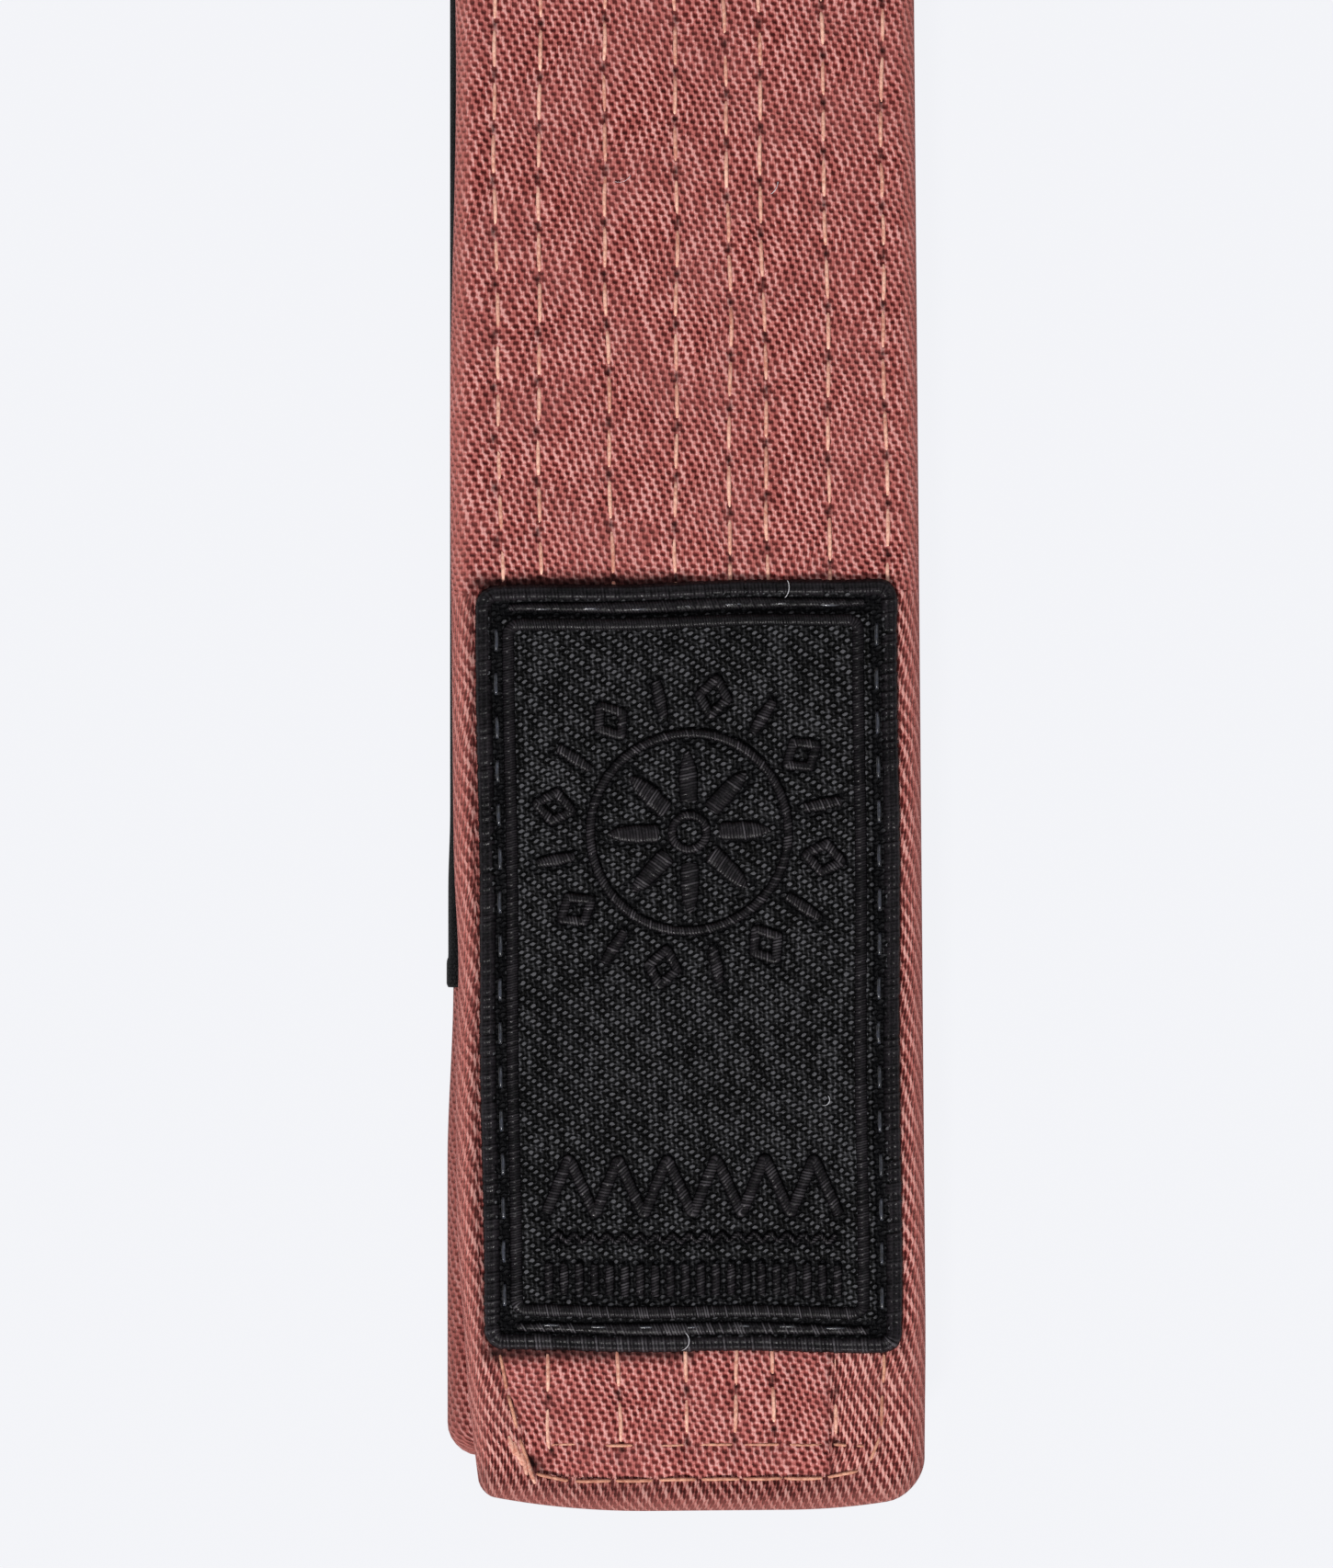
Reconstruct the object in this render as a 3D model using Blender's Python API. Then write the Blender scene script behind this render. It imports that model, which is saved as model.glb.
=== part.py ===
"""A martial arts belt, folded in half and rolled up, with both tails lying out flat on a table.

Blender 4.5, metres, +Z up. The roll's axis runs along X and the tails point along -Y. The rear
tail lies on the table and carries the rank bar; the front tail lies on top and carries the patch.
The belt is a flat tube of cover cloth around two strips of interlining, so every stretch of it is
one cover and two interlinings. The stretches meet at the lines where the belt is modelled to bend.
"""

import bmesh
import bpy
from math import atan2, cos, pi, radians, sin
from mathutils import Vector

# The belt's section.
BELT_WIDTH = 0.040
BELT_THICKNESS = 0.0042
COVER_CLOTH = 0.0006
INTERLINING_WIDTH = 0.0382
INTERLINING_THICKNESS = 0.00135
LAYER_GAP = 0.0001

# The stretches, measured back from the front tail's tip.
FRONT_TAIL_LENGTH = 0.225
FRONT_END_LENGTH = 0.094
TAILS_HINGE_FROM_TIP = 0.159
REAR_TIP_SHORTER = 0.004
REAR_END_LENGTH = 0.034
STRETCH_GAP = 0.0004
TIP_CORNER_RADIUS = 0.003
FRONT_TAIL_YAW = radians(0.5)

# The roll: both strands side by side on one spiral, joined by a fold at the middle.
STRAND_PITCH = 0.0047
PAIR_PITCH = 2 * STRAND_PITCH
OUTER_PAIR_RADIUS = 0.061
INNER_PAIR_RADIUS = 0.0143
STATIONS_PER_TURN = 30
FOLD_RADIUS = 0.0036
FOLD_EASE_ANGLE = radians(50)
FOLD_STEPS = 10

# The rank bar, a sleeve of black cloth around the rear tail.
RANK_BAR_FROM_TIP = 0.0416
RANK_BAR_LENGTH = 0.100
RANK_BAR_CLOTH = 0.0006
RANK_BAR_GAP = 0.0001

# The patch, sewn on the front tail.
PATCH_WIDTH = 0.0366
PATCH_LENGTH = 0.067
PATCH_FROM_TIP = 0.014
PATCH_SIDEWAYS = -0.0005
PATCH_CORNER_RADIUS = 0.0024
BORDER_WIDTH = 0.0014
BORDER_HEIGHT = 0.0011
BACKING_THICKNESS = 0.0004
GROUND_THICKNESS = 0.0004
SURFACE_GAP = 0.00005
FRAME_INSET = 0.0028
FRAME_WIDTH = 0.0010
EMBROIDERY_HEIGHT = 0.0003

# The emblem: a ring of plain ticks round a rosette, and under them a zigzag over two lines. Each
# height is measured along the belt from the patch's middle.
EMBLEM_HEIGHT = 0.0117
RING_RADII = (0.0092, 0.0099, 0.0124)
RING_TICKS = 32
ROSETTE_RADII = (0.0026, 0.0076)
ROSETTE_PETALS = 8
BAND_WIDTH = 0.025
ZIGZAG_HEIGHT = -0.0190
ZIGZAG_DEPTH = 0.0042
ZIGZAG_LINE = 0.0018
ZIGZAG_TEETH = 7
LINE_HEIGHTS = {"upper": -0.0248, "lower": -0.0275}
LINE_WIDTH = 0.0012

# Threads.
THREAD_RADIUS = 0.00016
QUILT_ROWS = (0.088, 0.180, 0.327, 0.473, 0.587, 0.665, 0.800, 0.930)
HEM_INSET = 0.0029
HEM_SEAM_FROM_TIP = 0.0058
HEM_LEG = 0.0125

# Levels above the table.
REST_LEVEL = BELT_THICKNESS / 2
REAR_LEVEL = RANK_BAR_CLOTH + RANK_BAR_GAP + BELT_THICKNESS / 2
FRONT_START_LEVEL = REST_LEVEL + STRAND_PITCH
FRONT_LEVEL = 0.0079
FRONT_TOP = FRONT_LEVEL + BELT_THICKNESS / 2
PATCH_BASE = FRONT_TOP + SURFACE_GAP
GROUND_BASE = PATCH_BASE + BACKING_THICKNESS + SURFACE_GAP
EMBROIDERY_BASE = GROUND_BASE + GROUND_THICKNESS + SURFACE_GAP

CORE_HALF = BELT_THICKNESS / 2 - COVER_CLOTH
INTERLININGS = {
    "face": (LAYER_GAP / 2, LAYER_GAP / 2 + INTERLINING_THICKNESS),
    "back": (-LAYER_GAP / 2 - INTERLINING_THICKNESS, -LAYER_GAP / 2),
}
CUTTER_OVERRUN = 0.005
REAR_TAIL_LENGTH = FRONT_TAIL_LENGTH - REAR_TIP_SHORTER

# A curve drawn in its own XY plane stands in the world's YZ plane with this rotation.
UPRIGHT = (pi / 2, 0, pi / 2)


def clear_scene():
    for old in list(bpy.data.objects):
        bpy.data.objects.remove(old)


def new_collection(name, hidden=False):
    collection = bpy.data.collections.new(name)
    collection.hide_render = hidden
    bpy.context.scene.collection.children.link(collection)
    return collection


def new_material(name, colour, roughness):
    material = bpy.data.materials.new(name)
    material.use_nodes = True
    shader = material.node_tree.nodes["Principled BSDF"]
    shader.inputs["Base Color"].default_value = (*colour, 1.0)
    shader.inputs["Roughness"].default_value = roughness
    shader.inputs["Metallic"].default_value = 0.0
    return material


def new_empty(name, parent, location, rotation=(0, 0, 0)):
    empty = bpy.data.objects.new(name, None)
    empty.location = location
    empty.rotation_euler = rotation
    empty.parent = parent
    parts.objects.link(empty)
    return empty


def finish_part(obj, parent, colour, roughness=0.9):
    """Files a piece under its parent empty and gives it its own material."""
    parts.objects.link(obj)
    obj.parent = parent
    obj.data.materials.clear()
    obj.data.materials.append(new_material(obj.name, colour, roughness))
    return obj


def flat_curve(name, outlines, half_depth):
    """A 2D curve filled on both sides; every outline after the first is a hole in it."""
    curve = bpy.data.curves.new(name, "CURVE")
    curve.dimensions = "2D"
    curve.fill_mode = "BOTH"
    curve.extrude = half_depth
    for outline in outlines:
        spline = curve.splines.new("POLY")
        spline.points.add(len(outline) - 1)
        for point, (across, along) in zip(spline.points, outline):
            point.co = (across, along, 0, 1)
        spline.use_cyclic_u = True
    return bpy.data.objects.new(name, curve)


def as_mesh(source):
    """The curve object as a mesh object of the same name and place, with its caps welded."""
    bpy.context.scene.collection.objects.link(source)
    bpy.context.view_layer.update()
    graph = bpy.context.evaluated_depsgraph_get()
    mesh = bpy.data.meshes.new_from_object(source.evaluated_get(graph))
    name, curve = source.name, source.data
    location, rotation = source.location.copy(), source.rotation_euler.copy()
    bpy.data.objects.remove(source)
    bpy.data.curves.remove(curve)
    welded = bmesh.new()
    welded.from_mesh(mesh)
    bmesh.ops.remove_doubles(welded, verts=welded.verts, dist=1e-6)
    bmesh.ops.recalc_face_normals(welded, faces=welded.faces)
    welded.to_mesh(mesh)
    welded.free()
    mesh.name = name
    obj = bpy.data.objects.new(name, mesh)
    obj.location = location
    obj.rotation_euler = rotation
    return obj


def box(name, size, centre):
    mesh = bpy.data.meshes.new(name)
    cube = bmesh.new()
    bmesh.ops.create_cube(cube, size=1.0)
    bmesh.ops.scale(cube, vec=size, verts=cube.verts)
    cube.to_mesh(mesh)
    cube.free()
    obj = bpy.data.objects.new(name, mesh)
    obj.location = centre
    return obj


def hollow(obj, cutter, parent):
    """Cuts the core's space out of a cover; the cutter runs out through the cover's open ends."""
    cutter.name = obj.name + "_cutter"
    cutter.parent = parent
    cutter.hide_render = True
    cutter.display_type = "WIRE"
    cutters.objects.link(cutter)
    boolean = obj.modifiers.new("core space", "BOOLEAN")
    boolean.object = cutter
    boolean.operation = "DIFFERENCE"
    boolean.solver = "EXACT"


def thread(name, points, parent, colour, closed=False, radius=THREAD_RADIUS):
    """A sewing thread: a thin tube through the points, which are in its parent's coordinates."""
    curve = bpy.data.curves.new(name, "CURVE")
    curve.dimensions = "3D"
    curve.bevel_depth = radius
    curve.bevel_resolution = 2
    curve.use_fill_caps = not closed
    spline = curve.splines.new("POLY")
    spline.points.add(len(points) - 1)
    for point, place in zip(spline.points, points):
        point.co = (*place, 1)
    spline.use_cyclic_u = closed
    return finish_part(bpy.data.objects.new(name, curve), parent, colour)


def smooth(share):
    share = min(max(share, 0.0), 1.0)
    return share * share * (3 - 2 * share)


def arc(centre_x, centre_y, radius, start, end, steps=6):
    turns = [start + (end - start) * step / steps for step in range(steps + 1)]
    return [(centre_x + radius * cos(turn), centre_y + radius * sin(turn)) for turn in turns]


def rounded_rectangle(width, length, radius):
    """The outline, centred on the origin, anticlockwise from the lower right corner."""
    side, end = width / 2 - radius, length / 2 - radius
    corners = ((side, -end, -pi / 2), (side, end, 0), (-side, end, pi / 2), (-side, -end, pi))
    return [point for x, y, turn in corners for point in arc(x, y, radius, turn, turn + pi / 2)]


def rounded_tip(width, start, end, radius):
    """A strap's outline from the straight cut at y = start to the rounded tip at y = end."""
    side = width / 2
    left = arc(-side + radius, end + radius, radius, pi, 3 * pi / 2)
    right = arc(side - radius, end + radius, radius, -pi / 2, 0)
    return [(side, start), (-side, start)] + left + right


def side_outline(stations, low, high):
    """A strip's side view: each station is (y, z, normal y, normal z) on the strap's middle."""
    upper = [(y + ny * high, z + nz * high) for y, z, ny, nz in stations]
    lower = [(y + ny * low, z + nz * low) for y, z, ny, nz in reversed(stations)]
    return upper + lower


def run_on(stations, overrun):
    """The same stations with both ends carried on in a straight line."""
    def beyond(end, inner):
        step = Vector(end[:2]) - Vector(inner[:2])
        place = Vector(end[:2]) + step.normalized() * overrun
        return (place.x, place.y, end[2], end[3])

    first, last = beyond(stations[0], stations[1]), beyond(stations[-1], stations[-2])
    return [first] + stations + [last]


def bent_strip(name, stations, low, high, width):
    strip = flat_curve(name, [side_outline(stations, low, high)], width / 2)
    strip.rotation_euler = UPRIGHT
    return as_mesh(strip)


def bent_strap(name, stations, parent):
    """A bent stretch of belt: its cover, open at both ends, and its two interlinings."""
    half = BELT_THICKNESS / 2
    cover = bent_strip(name + "_cover", stations, -half, half, BELT_WIDTH)
    finish_part(cover, parent, BELT_COLOUR)
    space = bent_strip(
        name + "_space",
        run_on(stations, CUTTER_OVERRUN),
        -CORE_HALF,
        CORE_HALF,
        BELT_WIDTH - 2 * COVER_CLOTH,
    )
    hollow(cover, space, parent)
    for layer, (low, high) in INTERLININGS.items():
        strip_name = f"{name}_interlining_{layer}"
        strip = bent_strip(strip_name, stations, low, high, INTERLINING_WIDTH)
        finish_part(strip, parent, INTERLINING_COLOUR)


def layer_centre(layer, level, face_up):
    low, high = INTERLININGS[layer]
    return level + (low + high) / 2 * (1 if face_up else -1)


def flat_strap(name, start, end, level, hinge, offset, face_up):
    """A straight stretch of belt between two cuts, in its tail's coordinates less the offset."""
    centre = Vector((0, (start + end) / 2, level)) - offset
    length = start - end
    cover = box(name + "_cover", (BELT_WIDTH, length, BELT_THICKNESS), centre)
    finish_part(cover, hinge, BELT_COLOUR)
    space_size = (BELT_WIDTH - 2 * COVER_CLOTH, length + 2 * CUTTER_OVERRUN, 2 * CORE_HALF)
    hollow(cover, box(name + "_space", space_size, centre), hinge)
    for layer in INTERLININGS:
        place = Vector((0, (start + end) / 2, layer_centre(layer, level, face_up))) - offset
        size = (INTERLINING_WIDTH, length, INTERLINING_THICKNESS)
        strip = box(f"{name}_interlining_{layer}", size, place)
        finish_part(strip, hinge, INTERLINING_COLOUR)


def tip_plate(name, width, start, end, radius, level, thickness, offset):
    plate = flat_curve(name, [rounded_tip(width, start, end, radius)], thickness / 2)
    plate.location = Vector((0, 0, level)) - offset
    return as_mesh(plate)


def tip_strap(name, start, end, level, hinge, offset, face_up):
    """A tail's last stretch: the cover closes round the tip, and the interlinings stop inside."""
    cover = tip_plate(
        name + "_cover", BELT_WIDTH, start, end, TIP_CORNER_RADIUS, level, BELT_THICKNESS, offset
    )
    finish_part(cover, hinge, BELT_COLOUR)
    space = tip_plate(
        name + "_space",
        BELT_WIDTH - 2 * COVER_CLOTH,
        start + CUTTER_OVERRUN,
        end + COVER_CLOTH,
        TIP_CORNER_RADIUS - COVER_CLOTH,
        level,
        2 * CORE_HALF,
        offset,
    )
    hollow(cover, space, hinge)
    for layer in INTERLININGS:
        strip = tip_plate(
            f"{name}_interlining_{layer}",
            INTERLINING_WIDTH,
            start,
            end + 2 * COVER_CLOTH,
            TIP_CORNER_RADIUS - COVER_CLOTH,
            layer_centre(layer, level, face_up),
            INTERLINING_THICKNESS,
            offset,
        )
        finish_part(strip, hinge, INTERLINING_COLOUR)


def coil_stations():
    """The whole roll about its axis: the front strand going in, the fold, the rear strand out."""
    slope = PAIR_PITCH / (2 * pi)
    last = -pi / 2 - atan2(slope, OUTER_PAIR_RADIUS)
    turned = (OUTER_PAIR_RADIUS - INNER_PAIR_RADIUS) / slope
    steps = round(turned / (2 * pi) * STATIONS_PER_TURN)
    wider = 2 * FOLD_RADIUS - STRAND_PITCH

    def radial(step):
        angle = last + turned * step / steps
        return cos(angle), sin(angle)

    def pair_radius(step):
        return OUTER_PAIR_RADIUS - (OUTER_PAIR_RADIUS - INNER_PAIR_RADIUS) * step / steps

    inward, outward = [], []
    for step in range(steps + 1):
        out_y, out_z = radial(step)
        eased = smooth(1 - turned * (1 - step / steps) / FOLD_EASE_ANGLE)
        inner = pair_radius(step) - STRAND_PITCH / 2 - wider * eased
        outer = pair_radius(step) + STRAND_PITCH / 2
        inward.append((inner * out_y, inner * out_z, -out_y, -out_z))
        outward.append((outer * out_y, outer * out_z, out_y, out_z))

    out_y, out_z = radial(steps)
    ahead_y, ahead_z = -out_z, out_y
    middle = pair_radius(steps) + STRAND_PITCH / 2 - FOLD_RADIUS
    fold = []
    for step in range(1, FOLD_STEPS):
        turn = pi * step / FOLD_STEPS
        ny = -out_y * cos(turn) + ahead_y * sin(turn)
        nz = -out_z * cos(turn) + ahead_z * sin(turn)
        fold.append((out_y * middle + ny * FOLD_RADIUS, out_z * middle + nz * FOLD_RADIUS, ny, nz))
    return inward + fold + outward[::-1]


def lead_stations(start, end, start_level, end_level, face_up, steps=8):
    """A tail's first stretch, which climbs gently from the roll's level to the tail's own."""
    side = 1 if face_up else -1
    stations = []
    for step in range(steps + 1):
        share = step / steps
        level = start_level + (end_level - start_level) * smooth(share)
        stations.append((start + (end - start) * share, level, 0, side))
    return stations


def ring_outline(radius, count):
    return [(radius * cos(2 * pi * k / count), radius * sin(2 * pi * k / count)) for k in range(count)]


def ticked_outline(inner, outer, count, share):
    """A circle that carries plain radial ticks: each tick takes its share of the spacing."""
    outline = []
    for tick in range(count):
        middle = 2 * pi * tick / count
        half = pi / count * share
        for radius, turn in ((inner, -half), (outer, -half), (outer, half), (inner, half)):
            outline.append((radius * cos(middle + turn), radius * sin(middle + turn)))
    return outline


def petal_outline(small, large, petals, count):
    outline = []
    for k in range(count):
        turn = 2 * pi * k / count
        radius = small + (large - small) * (0.5 + 0.5 * cos(petals * turn))
        outline.append((radius * cos(turn), radius * sin(turn)))
    return outline


def zigzag_outline(width, height, half_line, teeth):
    """A zigzag line of even depth, drawn there along its top and back along its bottom."""
    count = 2 * teeth
    middle = []
    for k in range(count + 1):
        middle.append((-width / 2 + width * k / count, height / 2 * (-1 if k % 2 else 1)))
    top = [(x, y + half_line) for x, y in middle]
    bottom = [(x, y - half_line) for x, y in reversed(middle)]
    return top + bottom


def build_rank_bar(hinge, offset):
    """The sleeve, open at both ends, and the row of stitches across each of its ends."""
    clearance = RANK_BAR_GAP + RANK_BAR_CLOTH
    width, height = BELT_WIDTH + 2 * clearance, BELT_THICKNESS + 2 * clearance
    first = -REAR_TAIL_LENGTH + RANK_BAR_FROM_TIP
    centre = Vector((0, first + RANK_BAR_LENGTH / 2, REAR_LEVEL)) - offset
    sleeve = box("rank_bar", (width, RANK_BAR_LENGTH, height), centre)
    finish_part(sleeve, hinge, BLACK_CLOTH)
    space_size = (
        BELT_WIDTH + 2 * RANK_BAR_GAP,
        RANK_BAR_LENGTH + 2 * CUTTER_OVERRUN,
        BELT_THICKNESS + 2 * RANK_BAR_GAP,
    )
    hollow(sleeve, box("rank_bar_space", space_size, centre), hinge)
    stitch_size = (BELT_WIDTH - 0.002, 0.0005, 0.0001)
    top = REAR_LEVEL + height / 2 + 0.00008
    ends = {"tip": first + 0.002, "roll": first + RANK_BAR_LENGTH - 0.002}
    for end, along in ends.items():
        place = Vector((0, along, top)) - offset
        stitch = box(f"rank_bar_stitch_{end}_end", stitch_size, place)
        finish_part(stitch, hinge, BLACK_THREAD)


def build_quilting(start, end, hinge, offset):
    """The rows of lengthwise stitching on the front tail's run."""
    level = FRONT_TOP + THREAD_RADIUS + 0.00003
    for row, share in enumerate(QUILT_ROWS, 1):
        across = (share - 0.5) * BELT_WIDTH
        ends = [Vector((across, along, level)) - offset for along in (start, end)]
        thread(f"quilt_thread_{row}", ends, hinge, PEACH_THREAD)


def hem_path(tip, level, inset, leg, corner):
    """Up one side of a tip's stitching, round the tip and up the other side."""
    side = BELT_WIDTH / 2 - inset
    low = tip + inset
    left = arc(-side + corner, low + corner, corner, pi, 3 * pi / 2)
    right = arc(side - corner, low + corner, corner, -pi / 2, 0)
    flat = [(-side, tip + leg)] + left + right + [(side, tip + leg)]
    return [Vector((x, y, level)) for x, y in flat]


def build_front_hem(hinge, offset):
    tip = -FRONT_TAIL_LENGTH
    level = FRONT_TOP + THREAD_RADIUS + 0.00003
    path = hem_path(tip, level, HEM_INSET, HEM_LEG, 0.002)
    thread("front_hem_stitch", [place - offset for place in path], hinge, PEACH_THREAD)
    seam_half = BELT_WIDTH / 2 - HEM_INSET - 0.0045
    seam = [Vector((x, tip + HEM_SEAM_FROM_TIP, level)) for x in (-seam_half, seam_half)]
    thread("front_hem_seam", [place - offset for place in seam], hinge, PEACH_THREAD)
    tack = []
    for k in range(7):
        across = -BELT_WIDTH / 2 + HEM_INSET + 0.0012 + 0.0004 * k
        tack.append(Vector((across, tip + (0.0036 if k % 2 else 0.0052), level)) - offset)
    thread("front_backtack", tack, hinge, PEACH_THREAD)


def patch_plate(name, outlines, base, thickness, hinge, offset, colour, lift=0.0):
    """A flat piece of the patch; lift moves it along the belt from the patch's middle."""
    middle = -FRONT_TAIL_LENGTH + PATCH_FROM_TIP + PATCH_LENGTH / 2
    plate = flat_curve(name, outlines, thickness / 2)
    plate.location = Vector((PATCH_SIDEWAYS, middle + lift, base + thickness / 2)) - offset
    finish_part(as_mesh(plate), hinge, colour)


def build_patch(hinge, offset):
    def rectangle(inset):
        radius = max(PATCH_CORNER_RADIUS - inset, 0.0007)
        return rounded_rectangle(PATCH_WIDTH - 2 * inset, PATCH_LENGTH - 2 * inset, radius)

    def plate(name, outlines, base, thickness, colour, lift=0.0):
        patch_plate(name, outlines, base, thickness, hinge, offset, colour, lift)

    inside = rectangle(BORDER_WIDTH + LAYER_GAP)
    plate("patch_backing", [inside], PATCH_BASE, BACKING_THICKNESS, BLACK_CLOTH)
    plate("patch_ground", [inside], GROUND_BASE, GROUND_THICKNESS, BLACK_CLOTH)
    border = [rectangle(0), rectangle(BORDER_WIDTH)]
    plate("patch_border", border, PATCH_BASE, BORDER_HEIGHT, BLACK_THREAD)

    raised = (EMBROIDERY_BASE, EMBROIDERY_HEIGHT, BLACK_THREAD)
    frame = [rectangle(FRAME_INSET), rectangle(FRAME_INSET + FRAME_WIDTH)]
    plate("patch_frame_stitch", frame, *raised)
    eye, rim, tips = RING_RADII
    ring = [ticked_outline(rim, tips, RING_TICKS, 0.5), ring_outline(eye, 48)]
    plate("emblem_ring", ring, *raised, lift=EMBLEM_HEIGHT)
    rosette = petal_outline(*ROSETTE_RADII, ROSETTE_PETALS, 96)
    plate("emblem_rosette", [rosette], *raised, lift=EMBLEM_HEIGHT)
    zigzag = zigzag_outline(BAND_WIDTH, ZIGZAG_DEPTH, ZIGZAG_LINE / 2, ZIGZAG_TEETH)
    plate("emblem_zigzag", [zigzag], *raised, lift=ZIGZAG_HEIGHT)
    for name, height in LINE_HEIGHTS.items():
        line = rounded_rectangle(BAND_WIDTH, LINE_WIDTH, LINE_WIDTH * 0.4)
        plate(f"emblem_line_{name}", [line], *raised, lift=height)

    sewing = rectangle((BORDER_WIDTH + FRAME_INSET) / 2)
    middle = -FRONT_TAIL_LENGTH + PATCH_FROM_TIP + PATCH_LENGTH / 2
    level = GROUND_BASE + GROUND_THICKNESS + THREAD_RADIUS + 0.00003
    loop = [Vector((x + PATCH_SIDEWAYS, y + middle, level)) - offset for x, y in sewing]
    thread("patch_sewing_thread", loop, hinge, BLACK_THREAD, closed=True)


def build_roll():
    """The roll and the two stretches that lead out of it, all on the root body."""
    axis = new_empty("roll_axis", None, (0, roll_y, roll_z))
    bent_strap("coil", coil, axis)
    hinge_line = -(FRONT_TAIL_LENGTH - TAILS_HINGE_FROM_TIP) + STRETCH_GAP / 2
    front = lead_stations(-STRETCH_GAP, hinge_line, FRONT_START_LEVEL, FRONT_LEVEL, True)
    bent_strap("front_lead", front, front_tail)
    rear = lead_stations(-STRETCH_GAP, hinge_line, REST_LEVEL, REAR_LEVEL, False)
    bent_strap("rear_lead", rear, rear_tail)


def build_tails():
    """The middle stretches of both tails, which lift together from the hinge by the roll."""
    hinge_y = -(FRONT_TAIL_LENGTH - TAILS_HINGE_FROM_TIP)
    offset = Vector((0, hinge_y, FRONT_TOP))
    front_hinge = new_empty("tails_hinge", front_tail, offset)
    rear_hinge = new_empty("tails_hinge_rear", rear_tail, offset)
    start = hinge_y - STRETCH_GAP / 2
    front_end = -(FRONT_TAIL_LENGTH - FRONT_END_LENGTH) + STRETCH_GAP / 2
    flat_strap("front_run", start, front_end, FRONT_LEVEL, front_hinge, offset, True)
    rear_end = -(REAR_TAIL_LENGTH - REAR_END_LENGTH) + STRETCH_GAP / 2
    flat_strap("rear_run", start, rear_end, REAR_LEVEL, rear_hinge, offset, False)
    build_rank_bar(rear_hinge, offset)
    build_quilting(start - 0.001, front_end + 0.001, front_hinge, offset)


def build_front_end():
    """The front tail's last stretch, with the tip's stitching and the patch."""
    hinge_y = -(FRONT_TAIL_LENGTH - FRONT_END_LENGTH)
    offset = Vector((0, hinge_y, FRONT_TOP))
    hinge = new_empty("front_end_hinge", front_tail, offset)
    start = hinge_y - STRETCH_GAP / 2
    tip_strap("front_end", start, -FRONT_TAIL_LENGTH, FRONT_LEVEL, hinge, offset, True)
    build_front_hem(hinge, offset)
    build_patch(hinge, offset)


def build_rear_end():
    """The rear tail's last stretch, which slopes down until its tip touches the table."""
    hinge_y = -(REAR_TAIL_LENGTH - REAR_END_LENGTH)
    offset = Vector((0, hinge_y, REAR_LEVEL - BELT_THICKNESS / 2))
    slope = atan2(REAR_LEVEL - REST_LEVEL, REAR_END_LENGTH)
    hinge = new_empty("rear_end_hinge", rear_tail, offset, (slope, 0, 0))
    start = hinge_y - STRETCH_GAP / 2
    tip_strap("rear_end", start, -REAR_TAIL_LENGTH, REAR_LEVEL, hinge, offset, False)
    level = REAR_LEVEL + BELT_THICKNESS / 2 + THREAD_RADIUS + 0.00003
    path = hem_path(-REAR_TAIL_LENGTH, level, HEM_INSET, HEM_LEG, 0.002)
    thread("rear_hem_stitch", [place - offset for place in path], hinge, PEACH_THREAD)


BELT_COLOUR = (0.33, 0.11, 0.095)
INTERLINING_COLOUR = (0.78, 0.74, 0.66)
BLACK_CLOTH = (0.022, 0.021, 0.023)
BLACK_THREAD = (0.030, 0.029, 0.032)
PEACH_THREAD = (0.72, 0.36, 0.23)

clear_scene()
parts = new_collection("martial_arts_belt")
cutters = new_collection("cutters", hidden=True)

# The roll stands on its outer turn, and the origin is under the middle of the whole belt.
coil = coil_stations()
rear_leaves = coil[-1]
roll_z = REST_LEVEL - rear_leaves[1]
reach = max(y + ny * BELT_THICKNESS / 2 for y, z, ny, nz in coil)
leaves_at = rear_leaves[0]
roll_y = (FRONT_TAIL_LENGTH - leaves_at - reach) / 2
front_tail = new_empty("front_tail", None, (0, roll_y + leaves_at, 0), (0, 0, FRONT_TAIL_YAW))
rear_tail = new_empty("rear_tail", None, (0, roll_y + leaves_at, 0))

build_roll()
build_tails()
build_front_end()
build_rear_end()
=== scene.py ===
"""Looks for the rolled martial arts belt: quilted twill, its stitching, the rank bar and the patch.

Lengths are in millimetres up to the point where a mesh is made. The belt is one ribbon from the
front tail's tip to the rear tail's: s runs along it, a across it (towards +X), and h out of it
(positive on its face side, negative on its back).
"""

from math import atan2, cos, pi, radians, sin

import bpy
import numpy as np
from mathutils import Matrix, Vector


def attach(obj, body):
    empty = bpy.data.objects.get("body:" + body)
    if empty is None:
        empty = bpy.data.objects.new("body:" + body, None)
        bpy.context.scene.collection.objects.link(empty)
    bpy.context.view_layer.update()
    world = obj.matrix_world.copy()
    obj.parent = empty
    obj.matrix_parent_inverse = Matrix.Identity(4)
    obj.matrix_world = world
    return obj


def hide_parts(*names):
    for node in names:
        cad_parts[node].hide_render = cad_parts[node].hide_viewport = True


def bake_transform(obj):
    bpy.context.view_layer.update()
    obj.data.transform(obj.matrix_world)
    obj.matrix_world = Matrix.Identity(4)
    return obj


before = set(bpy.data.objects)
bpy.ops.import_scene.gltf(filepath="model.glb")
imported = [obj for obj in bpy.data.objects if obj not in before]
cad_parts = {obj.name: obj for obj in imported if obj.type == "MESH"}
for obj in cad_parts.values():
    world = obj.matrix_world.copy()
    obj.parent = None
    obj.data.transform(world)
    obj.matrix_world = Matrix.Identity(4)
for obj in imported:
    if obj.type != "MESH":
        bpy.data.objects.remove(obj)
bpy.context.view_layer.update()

MM = 0.001

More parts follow.
